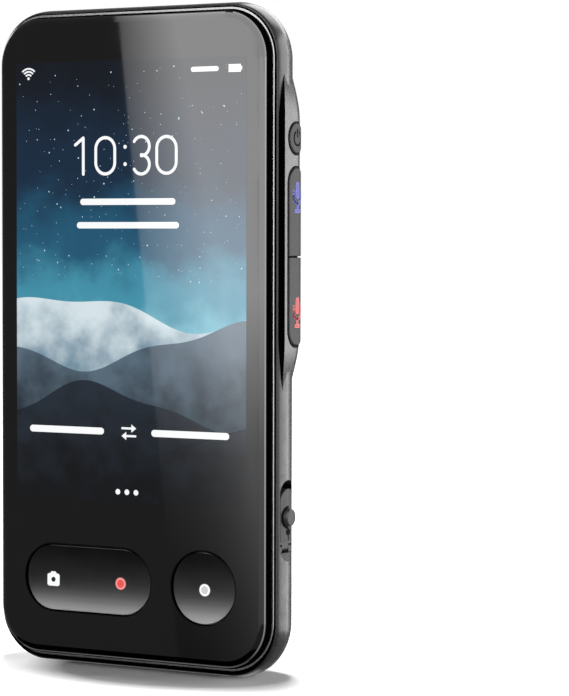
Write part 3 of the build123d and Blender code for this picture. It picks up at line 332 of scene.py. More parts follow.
def window_look():
    look = Look("gloss_black_window", (0.004, 0.004, 0.0045), 0.06)
    look.set("Coat Weight", 0.5)
    look.set("Coat Roughness", 0.03)
    return look.vary_roughness(6 * MM, 0.015)


def lens_look():
    look = Look("coated_lens", (0.004, 0.006, 0.02), 0.03)
    look.set("Coat Weight", 1.0)
    look.set("Coat Tint", (0.35, 0.5, 1.0, 1.0))
    return look.vary_roughness(4 * MM, 0.008)


def steel_look():
    return Look("bare_steel", (0.5, 0.5, 0.51), 0.32, 1.0).vary_roughness(0.5 * MM, 0.06)


def sheet_look():
    return Look("rolled_sheet", (0.45, 0.45, 0.46), 0.38, 1.0).vary_colour(3 * MM, 0.08)


def black_plastic_look():
    look = Look("moulded_black_plastic", (0.02, 0.02, 0.02), 0.5)
    return look.vary_colour(1.5 * MM, 0.12).grain(0.2 * MM, 0.008 * MM)


def board_look():
    return Look("board_solder_mask", (0.012, 0.07, 0.035), 0.35).vary_colour(1.1 * MM, 0.25)


def battery_look():
    return Look("battery_wrap", (0.2, 0.21, 0.22), 0.4).vary_colour(5 * MM, 0.06)


def flex_look():
    return Look("amber_flex", (0.3, 0.13, 0.03), 0.35).vary_colour(0.8 * MM, 0.15)


def rubber_look():
    return Look("black_rubber", (0.02, 0.02, 0.02), 0.7).vary_colour(0.9 * MM, 0.15)


SLOT_LOOKS = {
    "frame_plastic": frame_look,
    "cover_plastic": cover_look,
    "grille_plastic": grille_look,
    "black_plastic": black_plastic_look,
    "window_gloss": window_look,
    "key_gloss": key_look,
    "side_key_plastic": side_key_look,
    "glass": glass_look,
    "panel_glass": glass_look,
    "ring_metal": ring_look,
    "sheet_metal": sheet_look,
    "pin_steel": steel_look,
    "board_green": board_look,
    "battery_wrap": battery_look,
    "flex_amber": flex_look,
    "tape_black": rubber_look,
    "seal_rubber": rubber_look,
}


def dress_nodes():
    """Gives every CAD node the look of its material slot, or its own."""
    looks = {slot: make_look().material for slot, make_look in SLOT_LOOKS.items()}
    door = door_look().material
    own = {"camera_lens": lens_look().material, "port_cover": door, "port_hinge_block": door}
    slots = {row["node"]: row["material_slot"] for row in frame["record"]["subparts"]}
    for name, node in frame["nodes"].items():
        node.data.materials.clear()
        node.data.materials.append(own.get(name, looks[slots[name]]))


def glowing(name, colour):
    """A lit mark or picture behind polished glass."""
    look = Look(name, (0.0, 0.0, 0.0), 0.018)
    look.set("Emission Color", (*colour, 1.0))
    look.set("Emission Strength", 1.0)
    return look


def black_print_and_shade_look():
    # Matt black for printed marks, and for painted shade round the keys and beside the knob
    look = Look("matt_black_print_and_painted_shade", (0.0015, 0.0015, 0.0015), 0.6)
    look.set("Specular IOR Level", 0.03)
    return look


def ink(name, colour):
    """Paint printed on a side key."""
    return Look(name, colour, 0.4).vary_roughness(1 * MM, 0.03).material


WHITE = glowing("lit_white", (0.95, 0.96, 0.97)).material
PEARL = glowing("lit_pearl", (0.62, 0.62, 0.63)).material
RED = glowing("lit_red", (0.80, 0.09, 0.085)).material
PALE_RED = glowing("lit_pale_red", (0.90, 0.30, 0.29)).material
DARK = Look("printed_black", (0.003, 0.003, 0.003), 0.2).material
BLACK_PRINT_AND_SHADE = black_print_and_shade_look().material


# ---------------------------------------------------------------- mesh tools


def add_piece(name, mesh, look, body):
    mesh.materials.append(look)
    piece = bpy.data.objects.new(name, mesh)
    bpy.context.scene.collection.objects.link(piece)
    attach(piece, body)


def slab(name, outlines, place, thickness, look, body):
    """Flat marks cut from closed outlines; place(u, v, w) gives a point w above the surface."""
    made = bmesh.new()
    for outline in outlines:
        tops = [made.verts.new(place(u, v, thickness)) for u, v in outline]
        feet = [made.verts.new(place(u, v, 0.0)) for u, v in outline]
        made.faces.new(tops)
        made.faces.new(list(reversed(feet)))
        count = len(outline)
        for i in range(count):
            j = (i + 1) % count
            made.faces.new((tops[j], tops[i], feet[i], feet[j]))
    bmesh.ops.triangulate(made, faces=[f for f in made.faces if len(f.verts) > 4])
    bmesh.ops.recalc_face_normals(made, faces=made.faces)
    mesh = bpy.data.meshes.new(name)
    made.to_mesh(mesh)
    made.free()
    add_piece(name, mesh, look, body)


def on_front(lift=0.0):
    """Places marks on the front glass; u runs to the right and v up."""
    return lambda u, v, w: Vector((u, GLASS_Y - lift - PRINT_LIFT - w, v))


def lifted(place, lift):
    """The same places, a little further off the surface."""
    return lambda u, v, w: place(u, v, w + lift)


def node_tree(node):
    """The mesh of a CAD node, for casting rays on it."""
    return BVHTree.FromObject(frame["nodes"][node], bpy.context.evaluated_depsgraph_get())


def front_surface(node):
    """Places marks on the front of a node, at the depth of its mesh."""
    tree = node_tree(node)

    def place(u, v, w):
        hit = tree.ray_cast(Vector((u, GLASS_Y - 10 * MM, v)), Vector((0, 1, 0)))[0]
        return hit - Vector((0, PRINT_LIFT + w, 0))

    return place


def side_surface(*nodes):
    """Places marks on the +X side of the outermost of some nodes; u runs back and v up."""
    trees = [node_tree(node) for node in nodes]

    def place(u, v, w):
        hits = [tree.ray_cast(Vector((50 * MM, u, v)), Vector((-1, 0, 0)))[0] for tree in trees]
        return Vector((max(hit.x for hit in hits if hit is not None) + PRINT_LIFT + w, u, v))

    return place


def disc(u, v, radius, steps=40):
    turns = [2 * pi * i / steps for i in range(steps)]
    return [(u + radius * cos(turn), v + radius * sin(turn)) for turn in turns]


def box_outline(low_u, low_v, high_u, high_v):
    return [(low_u, low_v), (high_u, low_v), (high_u, high_v), (low_u, high_v)]


def pill(u, v, length, height, steps=14):
    """A stadium, longer along u unless it is higher than it is long."""
    radius = min(length, height) / 2
    reach_u = max(0.0, (length - height) / 2)
    reach_v = max(0.0, (height - length) / 2)
    points = []
    for quarter, (su, sv) in enumerate(((1, 1), (-1, 1), (-1, -1), (1, -1))):
        middle_u, middle_v = u + su * reach_u, v + sv * reach_v
        for i in range(steps + 1):
            turn = (quarter + i / steps) * pi / 2
            points.append((middle_u + radius * cos(turn), middle_v + radius * sin(turn)))
    return points


def band(points, width):
    """A stroke of constant width along points, with square ends."""
    left, right = [], []
    for i, point in enumerate(points):
        before = Vector(points[max(i - 1, 0)])
        after = Vector(points[min(i + 1, len(points) - 1)])
        along = (after - before).normalized()
        side = Vector((-along.y, along.x)) * width / 2
        left.append(tuple(Vector(point) + side))
        right.append(tuple(Vector(point) - side))
    return left + list(reversed(right))


def thick(points, width):
    """A stroke as overlapping quads and discs, so that corners are filled."""
    outlines = [band([a, b], width) for a, b in zip(points, points[1:])]
    return outlines + [disc(u, v, width / 2, 14) for u, v in points]


def loop_band(inner, outer):
    """The ring between two loops of as many points, as quads."""
    count = len(inner)
    return [
        [inner[i], inner[(i + 1) % count], outer[(i + 1) % count], outer[i]]
        for i in range(count)
    ]


def key_rim(u, v, length, height, inner, outer):
    """A ring round a key; inner and outer are how much longer than the key its edges are."""
    return loop_band(
        pill(u, v, length + inner, height + inner),
        pill(u, v, length + outer, height + outer),
    )


def arc(u, v, radius, start, end, steps=24):
    """Points on an arc, in degrees."""
    turns = [radians(start + (end - start) * i / steps) for i in range(steps + 1)]
    return [(u + radius * cos(turn), v + radius * sin(turn)) for turn in turns]


# ---------------------------------------------------------------- screen picture


def wave_look(name, stops, mottle, size=6 * MM):
    """A lit, mottled gradient up the screen; stops are shares of its height with colours."""
    look = glowing(name, (0, 0, 0))
    share = look.spread(look.axis("Z"), 0.0, 1.0, SCREEN_LOW, SCREEN_LOW + SCREEN_HEIGHT)
    cloud = look.spread(look.noise(size, 8.0), -mottle, mottle)
    look.feed("Emission Color", look.ramp(look.maths("ADD", share, cloud), stops, "EASE"))
    return look.material


def wave_outline(base, swells, steps=96):
    """The part of the screen below a wavy line; swells are (height, waves, phase)."""
    line = []
    for i in range(steps + 1):
        share = i / steps
        height = base + sum(h * sin(2 * pi * (n * share + phase)) for h, n, phase in swells)
        line.append((SCREEN_LEFT + share * SCREEN_WIDTH, SCREEN_LOW + height * SCREEN_HEIGHT))
    return line + [(SCREEN_LEFT + SCREEN_WIDTH, SCREEN_LOW), (SCREEN_LEFT, SCREEN_LOW)]


def make_picture():
    """A generic wallpaper of soft waves under an evening sky."""
    sky_stops = [
        (0.35, (0.20, 0.52, 0.62)),
        (0.47, (0.05, 0.27, 0.38)),
        (0.60, (0.010, 0.085, 0.16)),
        (0.76, (0.003, 0.018, 0.045)),
        (1.00, (0.001, 0.003, 0.008)),
    ]
    far_stops = [(0.25, (0.14, 0.24, 0.32)), (0.48, (0.66, 0.76, 0.80))]
    middle_stops = [(0.10, (0.012, 0.02, 0.03)), (0.42, (0.10, 0.15, 0.20))]
    near_stops = [(0.0, (0.001, 0.0015, 0.003)), (0.30, (0.014, 0.022, 0.034))]
    sky = box_outline(SCREEN_LEFT, SCREEN_LOW, -SCREEN_LEFT, SCREEN_LOW + SCREEN_HEIGHT)
    far = wave_outline(0.43, [(0.035, 0.8, 0.08), (0.012, 1.9, 0.3)])
    middle = wave_outline(0.355, [(0.05, 0.7, 0.55), (0.012, 2.1, 0.1)])
    near = wave_outline(0.22, [(0.045, 0.9, 0.95), (0.01, 2.3, 0.6)])
    for place, (name, outline, look) in enumerate(
        (
            ("picture_sky", sky, wave_look("picture_sky", sky_stops, 0.035, 7 * MM)),
            ("picture_far_wave", far, wave_look("picture_far_wave", far_stops, 0.07)),
            ("picture_middle_wave", middle, wave_look("picture_middle_wave", middle_stops, 0.07)),
            ("picture_near_wave", near, wave_look("picture_near_wave", near_stops, 0.07)),
        )
    ):
        slab(name, [outline], on_front(place * LAYER), LAYER / 2, look, "housing")
    sparkles = []
    for i in range(240):
        # Evenly scattered numbers between 0 and 1, the same in every run
        across, up, size = (sin(i * step) * 43758.5453 % 1.0 for step in (12.9898, 78.233, 39.425))
        u = SCREEN_LEFT + SCREEN_WIDTH * (0.015 + 0.97 * across)
        v = SCREEN_LOW + SCREEN_HEIGHT * (0.50 + 0.485 * up)
        sparkles.append(disc(u, v, (0.06 + 0.12 * size**3) * MM, 7))
    pale = glowing("picture_sparkle", (0.50, 0.66, 0.74)).material
    slab("picture_sparkles", sparkles, on_front(LAYER), LAYER / 2, pale, "housing")


# ---------------------------------------------------------------- marks on the screen and keys

DIGIT_HEIGHT = 1.6
# Centre lines of plain rounded digits, in a box 1 wide and 1.6 high
DIGITS = {
    "0": [arc(0.5, 1.1, 0.5, 0, 180) + arc(0.5, 0.5, 0.5, 180, 360) + [(1.0, 1.1)]],
    "1": [[(0.2, 1.3), (0.62, 1.6)], [(0.62, 1.6), (0.62, 0.0)]],
    "3": [arc(0.48, 1.2, 0.42, 150, -90), arc(0.48, 0.4, 0.42, 90, -150)],
}


def screen_mark(name, outlines):
    place = on_front(MARK_LIFT)
    slab(name, outlines, place, PRINT_THICKNESS, WHITE, "housing")


def make_clock():
    """A plain time of day in place of the photograph's."""
    unit = 7.1 * MM / DIGIT_HEIGHT
    stroke = 0.62 * MM
    middle_u, middle_v = -0.6 * MM, SCREEN_Z + 24.6 * MM
    foot = middle_v - DIGIT_HEIGHT / 2 * unit
    digit_width, colon_width = 1.28 * unit, 0.62 * unit
    characters = "10:30"
    widths = [colon_width if character == ":" else digit_width for character in characters]
    u = middle_u - sum(widths) / 2
    outlines = []
    for character, width in zip(characters, widths):
        if character == ":":
            for level in (0.42, 1.18):
                outlines.append(disc(u + width * 0.42, foot + level * unit, stroke * 0.62, 18))
        else:
            for line in DIGITS[character]:
                outlines += thick([(u + x * unit, foot + y * unit) for x, y in line], stroke)
        u += width
    screen_mark("clock_digits", outlines)


def make_screen_marks():
    """Placeholder bars, swap arrows, page dots and status pictograms."""
    # Each bar's middle from the middle of the screen, its length and its height, in mm
    bars = (
        (-0.3, 15.6, 22.0, 1.25),
        (-0.3, 11.0, 23.6, 1.25),
        (-14.6, -29.5, 17.6, 1.35),
        (14.0, -29.5, 17.6, 1.35),
    )
    screen_mark(
        "screen_bars",
        [pill(u * MM, SCREEN_Z + v * MM, length * MM, high * MM) for u, v, length, high in bars],
    )

    arrows = []
    for side in (1, -1):
        z = SCREEN_Z - 29.5 * MM + side * 0.75 * MM
        tip = side * 1.7 * MM
        neck = tip * 0.35
        arrows.append(band([(-tip, z), (tip * 0.6, z)], 0.42 * MM))
        arrows.append([(tip, z), (neck, z + 0.8 * MM), (neck, z - 0.8 * MM)])
    screen_mark("screen_arrows", arrows)

    dots_z = SCREEN_Z - 41.3 * MM
    dots_u = [(-0.46 + step * 2.1) * MM for step in (-1, 0, 1)]
    screen_mark("screen_dots", [disc(u, dots_z, 0.55 * MM, 24) for u in dots_u])

    top = SCREEN_Z + 40.9 * MM
    radio = -23.6 * MM
    battery = 24.1 * MM
    waves = [arc(radio, top - 0.9 * MM, radius * MM, 45, 135) for radius in (0.9, 1.5, 2.1)]
    status = [band(wave, 0.32 * MM) for wave in waves]
    status.append(disc(radio, top - 0.75 * MM, 0.28 * MM, 16))
    for low_u, high_u, half in ((-1.5, 1.2, 0.75), (1.2, 1.5, 0.35)):
        low, high = top - half * MM, top + half * MM
        status.append(box_outline(battery + low_u * MM, low, battery + high_u * MM, high))
    status.append(pill(battery - 6.8 * MM, top, 6.2 * MM, 0.95 * MM))
    screen_mark("screen_status", status)


def make_key_marks():
    on_rocker = front_surface("rocker_key")
    on_home = front_surface("home_key")
    z = KEY_Z - 0.4 * MM
    camera_u = ROCKER_X - 8.4 * MM
    camera = [
        [(camera_u + u * MM, z + v * MM) for u, v in outline]
        for outline in (
            box_outline(-1.45, -1.25, 1.45, 0.85),
            box_outline(-1.2, -1.45, 1.2, 1.05),
            [(-0.85, 0.9), (0.85, 0.9), (0.5, 1.45), (-0.5, 1.45)],
        )
    ]
    lens = disc(camera_u, z - 0.15 * MM, 0.5 * MM, 24)
    record = ROCKER_X + 7.5 * MM
    home = HOME_X + 0.1 * MM
    for name, outlines, place, look, body in (
        ("camera_mark", camera, on_rocker, WHITE, "rocker_key"),
        ("camera_mark_lens", [lens], lifted(on_rocker, CORE_LIFT), DARK, "rocker_key"),
        ("record_mark", [disc(record, z, 1.2 * MM, 36)], on_rocker, PALE_RED, "rocker_key"),
        (
            "record_mark_core",
            [disc(record, z, 0.78 * MM, 36)],
            lifted(on_rocker, CORE_LIFT),
            RED,
            "rocker_key",
        ),
        ("home_mark", [disc(home, z, 1.2 * MM, 36)], on_home, WHITE, "home_key"),
        (
            "home_mark_core",
            [disc(home, z, 0.75 * MM, 36)],
            lifted(on_home, CORE_LIFT),
            PEARL,
            "home_key",
        ),
    ):
        slab(name, outlines, place, PRINT_THICKNESS, look, body)


def make_front_key_gap_shade():
    """Painted shade: matt black rings round the front keys, darkening the openings in the glass."""
    home_length = HOME_HIGH.x - HOME_LOW.x - 2 * FRONT_KEY_FLANGE
    home_height = HOME_HIGH.z - HOME_LOW.z - 2 * FRONT_KEY_FLANGE
    rocker_length = ROCKER_HIGH.x - ROCKER_LOW.x - 2 * FRONT_KEY_FLANGE
    inner = 2 * FRONT_KEY_GAP
    outer = inner + 0.36 * MM
    for name, u, length, height in (
        ("rocker_gap_shade", ROCKER_X, rocker_length, FRONT_KEY_HEIGHT),
        ("home_gap_shade", HOME_X, home_length, home_height),
    ):
        rim = key_rim(u, KEY_Z, length, height, inner, outer)
        slab(name, rim, on_front(), 0.008 * MM, BLACK_PRINT_AND_SHADE, "housing")


# ---------------------------------------------------------------- marks on the side


def microphone(u, v, height, grow):
    """A plain microphone pictogram, made fatter by grow tenths of its height."""
    unit = height / 10.0
    stroke = (0.95 + grow) * unit
    cradle = [(u - 2.5 * unit, v + 1.6 * unit)]
    cradle += arc(u, v + 0.2 * unit, 2.5 * unit, 180, 360, 18)
    cradle += [(u + 2.5 * unit, v + 1.6 * unit)]
    return [
        pill(u, v + 2.0 * unit, (2.2 + grow) * unit, (5.2 + grow) * unit),
        *thick(cradle, stroke),
        band([(u, v - 2.3 * unit), (u, v - 4.4 * unit)], stroke),
        pill(u, v - 4.6 * unit, (3.4 + grow) * unit, stroke),
    ]


def make_mic_marks():
    pale_blue = ink("printed_pale_blue", (0.11, 0.11, 0.60))
    deep_blue = ink("printed_deep_blue", (0.008, 0.008, 0.22))
    pale_red = ink("printed_pale_red", (0.62, 0.10, 0.10))
    deep_red = ink("printed_deep_red", (0.40, 0.005, 0.005))
    height = 5.9 * MM
    for name, node, z, pale, deep in (
        ("mic_mark_upper", "mic_key_upper", SCREEN_Z + 16.45 * MM, pale_blue, deep_blue),
        ("mic_mark_lower", "mic_key_lower", SCREEN_Z - 5.55 * MM, pale_red, deep_red),
    ):
        place = side_surface(node)
        wide, narrow = (microphone(SIDE_KEY_Y, z, height, grow) for grow in (0.25, -0.25))
        slab(name, wide, place, PRINT_THICKNESS, pale, node)
        raised = lifted(place, 0.025 * MM)
        slab(name + "_core", narrow, raised, THIN_PRINT, deep, node)


def make_side_marks():
    """Painted shade round the side keys' openings and beside the knob, and the printed power and
    port marks.
    """
    on_housing = side_surface("mid_frame", "rear_cover")
    # Matt black rings of painted shade, darkening the gaps round the side keys
    for name, z, length, width in (
        ("mic_keys_gap_shade", MIC_KEYS_Z, MIC_KEYS_LENGTH, SIDE_KEY_WIDTH),
        ("power_gap_shade", POWER_Z, POWER_DIAMETER, POWER_DIAMETER),
    ):
        rim = key_rim(SIDE_KEY_Y, z, width, length, 0.34 * MM, 0.95 * MM)
        slab(name, rim, on_housing, THIN_PRINT, BLACK_PRINT_AND_SHADE, "housing")

    stroke = 0.34 * MM
    bar = [(SIDE_KEY_Y, POWER_Z + 0.3 * MM), (SIDE_KEY_Y, POWER_Z + 1.7 * MM)]
    power = thick(arc(SIDE_KEY_Y, POWER_Z, 1.35 * MM, 120, 420, 30), stroke) + thick(bar, stroke)
    # A crescent of painted shadow on the front side of the knob
    inner = arc(COVER_Y, KNOB_Z, KNOB_RADIUS + 0.05 * MM, 85, 275)
    outer = arc(COVER_Y, KNOB_Z, KNOB_RADIUS + 0.6 * MM, 85, 275)
    crescent = loop_band(inner, outer)[:-1]
    plug_z = KNOB_Z - 3.3 * MM
    plug = thick([(COVER_Y, plug_z - 1.0 * MM), (COVER_Y, plug_z)], 0.4 * MM)
    plug += [pill(COVER_Y, plug_z + 0.5 * MM, 1.7 * MM, 1.2 * MM)]
    for name, outlines, thickness, node, slot in (
        ("power_mark", power, PRINT_THICKNESS, "power_button", "side_key_plastic"),
        ("knob_shadow", crescent, THIN_PRINT, "port_cover", "frame_plastic"),
        ("port_mark", plug, PRINT_THICKNESS, "port_cover", "frame_plastic"),
    ):
        slab(name, outlines, side_surface(node), thickness, BLACK_PRINT_AND_SHADE, node)


# ---------------------------------------------------------------- marks on the back


def make_grille_dots():
    """Dark dots, painted shadow of dimples, that carry the grid of speaker holes on over the whole
    panel.
    """
    tree = node_tree("speaker_grille")
    half_width = GRILLE_HIGH.x - 2.5 * MM
    full_height = GRILLE_HIGH.z - 2.4 * MM
    lowest = 5.5 * MM
    across, down = 2.4 * MM, 2.0 * MM  # pitch of the real holes
    middle = 22.1 * MM  # middle row of the real holes, which take three rows
    real_reach = 5 * MM
    made = bmesh.new()
    for row in range(-9, 5):
        z = middle + row * down
        if z < lowest or z > full_height:
            continue
        half = half_width * sqrt(1 - (z / full_height) ** 2)
        radius = (0.34 + 0.16 * min(1.0, z / full_height)) * MM
        for place in range(-12, 13):
            x = (place + 0.5 * ((row + 1) % 2)) * across
            if abs(x) > half or (abs(row) <= 1 and abs(x) < real_reach):
                continue
            hits = [
                tree.ray_cast(Vector((x + radius * a, 50 * MM, z + radius * b)), Vector((0, -1, 0)))
                for a, b in ((0, 0), (1, 0), (-1, 0), (0, 1), (0, -1))
            ]
            if any(hit[0] is None for hit in hits):
                continue
            centre, normal = hits[0][:2]
            depths = [hit[0].y for hit in hits]
            if normal.y < 0.25 or max(depths) - min(depths) > 0.9 * MM:
                continue
            turn = Vector((0, 0, 1)).rotation_difference(normal)
            foot = centre + normal * PRINT_LIFT
            rim = [foot + turn @ Vector((a, b, 0)) for a, b in disc(0, 0, radius, 16)]
            made.faces.new([made.verts.new(point) for point in rim])
    mesh = bpy.data.meshes.new("grille_dots")
    made.to_mesh(mesh)
    made.free()
    look = Look("dimple_shadow", (0.012, 0.012, 0.012), 0.6).vary_colour(0.5 * MM, 0.2)
    add_piece("grille_dots", mesh, look.material, "housing")


def make_lens_rings():
    """The coated inner lens, seen through the cover lens as pale and dark blue rings."""
    u, v = (LENS_LOW.x + LENS_HIGH.x) / 2, (LENS_LOW.z + LENS_HIGH.z) / 2

    def place(a, b, w):
        return Vector((a, LENS_HIGH.y + PRINT_LIFT + w, b))

    for layer, (name, radius, colour) in enumerate(
        (
            ("lens_rim", 1.35 * MM, (0.10, 0.20, 0.34)),
            ("lens_iris", 1.0 * MM, (0.01, 0.035, 0.12)),
            ("lens_pupil", 0.5 * MM, (0.002, 0.004, 0.012)),
        )
    ):
        look = Look(name + "_glass", colour, 0.08).vary_roughness(1 * MM, 0.02).material
        above = lifted(place, layer * LAYER)
        slab(name, [disc(u, v, radius)], above, 0.003 * MM, look, "housing")


# ---------------------------------------------------------------- stage

# Middle and half sizes of the oval of floor that doesn't glow
SHADOW_X, SHADOW_Y = 9 * MM, -4 * MM
SHADOW_LENGTH, SHADOW_DEPTH = 28 * MM, 20 * MM
FLOOR_REACH = 6.0


def make_floor():
    """A white floor whose far part glows, so that only the shadow near the handset shows."""
    mesh = bpy.data.meshes.new("floor")
    outline = box_outline(-FLOOR_REACH, -FLOOR_REACH, FLOOR_REACH, FLOOR_REACH)
    mesh.from_pydata([(x, y, 0) for x, y in outline], [], [(0, 1, 2, 3)])
    look = Look("pale_floor", (0.84, 0.84, 0.84), 0.9)
    look.set("Specular IOR Level", 0.0)
    look.set("Emission Color", (1.0, 1.0, 1.0, 1.0))
    oval = look.node("ShaderNodeMapping")
    oval.inputs["Location"].default_value = (
        -SHADOW_X / SHADOW_LENGTH, -SHADOW_Y / SHADOW_DEPTH, 0,
    )
    oval.inputs["Scale"].default_value = (1 / SHADOW_LENGTH, 1 / SHADOW_DEPTH, 1.0)
    length = look.node("ShaderNodeVectorMath", operation="LENGTH")
    look.link(look.coords.outputs["Object"], oval.inputs["Vector"])
    look.link(oval.outputs["Vector"], length.inputs[0])
    # Ten times the oval's size is where the glow is full
    far = look.spread(length.outputs["Value"], 0.0, 1.0, 0.0, 10.0)
    glow = look.ramp(far, [(0.0, 0.0), (0.085, 0.0), (0.12, 0.7), (0.3, 0.8), (1.0, 1.05)])
    look.feed("Emission Strength", glow)
    mesh.materials.append(look.material)
    floor = bpy.data.objects.new("floor", mesh)
    bpy.context.scene.collection.objects.link(floor)
    floor.visible_glossy = False


class Glow(Shader):
    """The material of a light panel, whose strength is worked out from its UV map."""

    def __init__(self, name):
        super().__init__(name)
        self.nodes.clear()
        output = self.node("ShaderNodeOutputMaterial")
        self.emission = self.node("ShaderNodeEmission")
        split = self.node("ShaderNodeSeparateXYZ")
        self.link(self.node("ShaderNodeTexCoord").outputs["UV"], split.inputs["Vector"])
        self.link(self.emission.outputs["Emission"], output.inputs["Surface"])
        self.across, self.down = split.outputs["X"], split.outputs["Y"]

    def strength(self, value):
        """Sets an even strength, or links one that varies over the panel."""
        socket = self.emission.inputs["Strength"]
        if isinstance(value, (int, float)):
            socket.default_value = value
        else:
            self.link(value, socket)

    def edge_share(self):
        """How far into the panel's soft left edge a point is, up to 1."""
        return self.maths("MINIMUM", self.across, 1.0)


def glow_panel(name, rows, glow, diffuse=False):
    """A panel from rows of (point, across, down), seen in reflections alone unless diffuse."""
    columns = len(rows[0])
    points = [entry for row in rows for entry in row]
    faces = []
    for i in range(len(rows) - 1):
        for j in range(columns - 1):
            corner = i * columns + j
            faces.append((corner, corner + 1, corner + columns + 1, corner + columns))
    mesh = bpy.data.meshes.new(name)
    mesh.from_pydata([tuple(point) for point, across, down in points], [], faces)
    layer = mesh.uv_layers.new(name="share")
    for loop, face_loop in zip(layer.data, mesh.loops):
        loop.uv = points[face_loop.vertex_index][1:]
    mesh.materials.append(glow.material)
    panel = bpy.data.objects.new(name, mesh)
    bpy.context.scene.collection.objects.link(panel)
    panel.visible_camera = False
    panel.visible_shadow = False
    panel.visible_diffuse = diffuse


def area_light(name, at, target, size, watts, size_y=None):
    data = bpy.data.lights.new(name, "AREA")
    data.shape = "RECTANGLE"
    data.size = size
    data.size_y = size_y or size
    data.energy = watts
    light = bpy.data.objects.new(name, data)
    bpy.context.scene.collection.objects.link(light)
    light.location = at
    light.rotation_mode = "QUATERNION"
    light.rotation_quaternion = (Vector(target) - Vector(at)).to_track_quat("-Z", "Y")
    return light


WORLD_SEEN, WORLD_REFLECTED, WORLD_FILL = 1.0, 0.26, 0.10


def make_world():
    """A white backdrop for the camera, darker for reflections and darkest as fill light."""
    world = bpy.data.worlds.new("studio")
    bpy.context.scene.world = world
    world.use_nodes = True
    nodes, links = world.node_tree.nodes, world.node_tree.links
    nodes.clear()
    output, path = nodes.new("ShaderNodeOutputWorld"), nodes.new("ShaderNodeLightPath")

    def backdrop(level):
        shade = nodes.new("ShaderNodeBackground")
        shade.inputs["Color"].default_value = (level, level, level, 1)
        return shade.outputs["Background"]

    result = backdrop(WORLD_REFLECTED)
    for ray, level in (("Is Diffuse Ray", WORLD_FILL), ("Is Camera Ray", WORLD_SEEN)):
        mix = nodes.new("ShaderNodeMixShader")
        links.new(path.outputs[ray], mix.inputs["Fac"])
        links.new(result, mix.inputs[1])
        links.new(backdrop(level), mix.inputs[2])
        result = mix.outputs["Shader"]
    links.new(result, output.inputs["Surface"])


# The slanted reflection on the glass: its left edge runs through these pixels of the photograph
EDGE_TOP_U, EDGE_FOOT_U = 117.0, 182.0
EDGE_WIDTH, EDGE_WIDENING = 55, 0.075  # width of that soft edge in pixels, and its growth downwards
GLASS_BEND_U = 259.6  # where the flat of the glass ends and its rounded edge begins
# More pixels of the photograph, along the edge of the glass
TOP_V = 16
TOP_CORNER, TOP_CORNER_RIM = (258, 22), (262, 26)
FOOT_CORNER_RIM, FOOT_RIM, FOOT_EDGE = (262, 630), (150, 655), (150, 650)
RIM_TILTS = (36.0, 46.0)  # how the outer rim of the glass leans off the front, in degrees
PANEL_DISTANCE = 1.2
FULL_GLOW = 5.9
# How the reflection fades down the picture, through shares of its height
FALL = [
    (0.0, 1.0), (0.42, 1.0), (0.575, 0.50), (0.65, 0.31),
    (0.76, 0.225), (0.85, 0.17), (1.0, 0.11),
]


def spaced(low, high, count):
    return [low + (high - low) * i / (count - 1) for i in range(count)]


def reflected(u, v, tilt=0.0, around=0.0, distance=PANEL_DISTANCE):
    """The point that a surface in the plane of the glass reflects at a pixel, this far off.

    The surface leans tilt degrees off the front: to the right, or up if around is 90.
    """
    ray = pixel_ray(u, v)
    at = CAMERA_AT + ray * ((GLASS_Y - CAMERA_AT.y) / ray.y)
    lean, side = radians(tilt), radians(around)
    normal = Vector((sin(lean) * cos(side), -cos(lean), sin(lean) * sin(side)))
    return at + (ray - 2 * ray.dot(normal) * normal) * distance


def make_flat_panel():
    """The softbox that the flat of the glass reflects."""
    glow = Glow("glass_softbox")
    edge_share = glow.edge_share()
    fall = glow.ramp(glow.down, FALL)
    bright = glow.maths("MULTIPLY_ADD", edge_share, 0.7, 0.3)
    dim = glow.maths("MULTIPLY_ADD", glow.maths("POWER", edge_share, 3.0), 0.8, 0.2)
    share = glow.maths("MULTIPLY_ADD", glow.maths("SUBTRACT", bright, dim), fall, dim)
    glow.strength(glow.maths("MULTIPLY", glow.maths("MULTIPLY", share, fall), FULL_GLOW))
    rows = []
    for v in spaced(-10, PHOTO_HEIGHT + 10, 25):
        edge = EDGE_TOP_U + (EDGE_FOOT_U - EDGE_TOP_U) * v / PHOTO_HEIGHT
        width = EDGE_WIDTH + EDGE_WIDENING * v
        rows.append(
            [
                (reflected(u, v), (u - edge) / width, v / PHOTO_HEIGHT)
                for u in spaced(edge, GLASS_BEND_U + 1, 13)
            ]
        )
    glow_panel("glass_softbox", rows, glow)


def make_side_panels():
    """The lights that the rounded right edge of the glass and the side of the frame reflect."""
    bend = Glow("bend_softbox")
    bend.strength(bend.maths("MULTIPLY", bend.ramp(bend.down, FALL), 1.05 * FULL_GLOW))
    strip = Glow("strip_softbox")
    strip.strength(strip.maths("MULTIPLY_ADD", strip.down, -5.0, 10.5))
    side = Glow("side_softbox")
    side.strength(side.maths("MULTIPLY_ADD", side.across, 3.2, 1.8))
    count = 13
    for name, glow, tilts, heights in (
        ("bend_softbox", bend, (0.5, 35.5), (-10, 706)),
        ("strip_softbox", strip, RIM_TILTS, (-60, 760)),
        ("side_softbox", side, (52.0, 93.0), (-900, 900)),
    ):
        rows = []
        for v in spaced(*heights, count):
            down = min(1.0, max(0.0, v / PHOTO_HEIGHT))
            rows.append(
                [
                    (reflected(GLASS_BEND_U, v, tilt), i / (count - 1), down)
                    for i, tilt in enumerate(spaced(*tilts, count))
                ]
            )
        glow_panel(name, rows, glow, diffuse=name == "side_softbox")


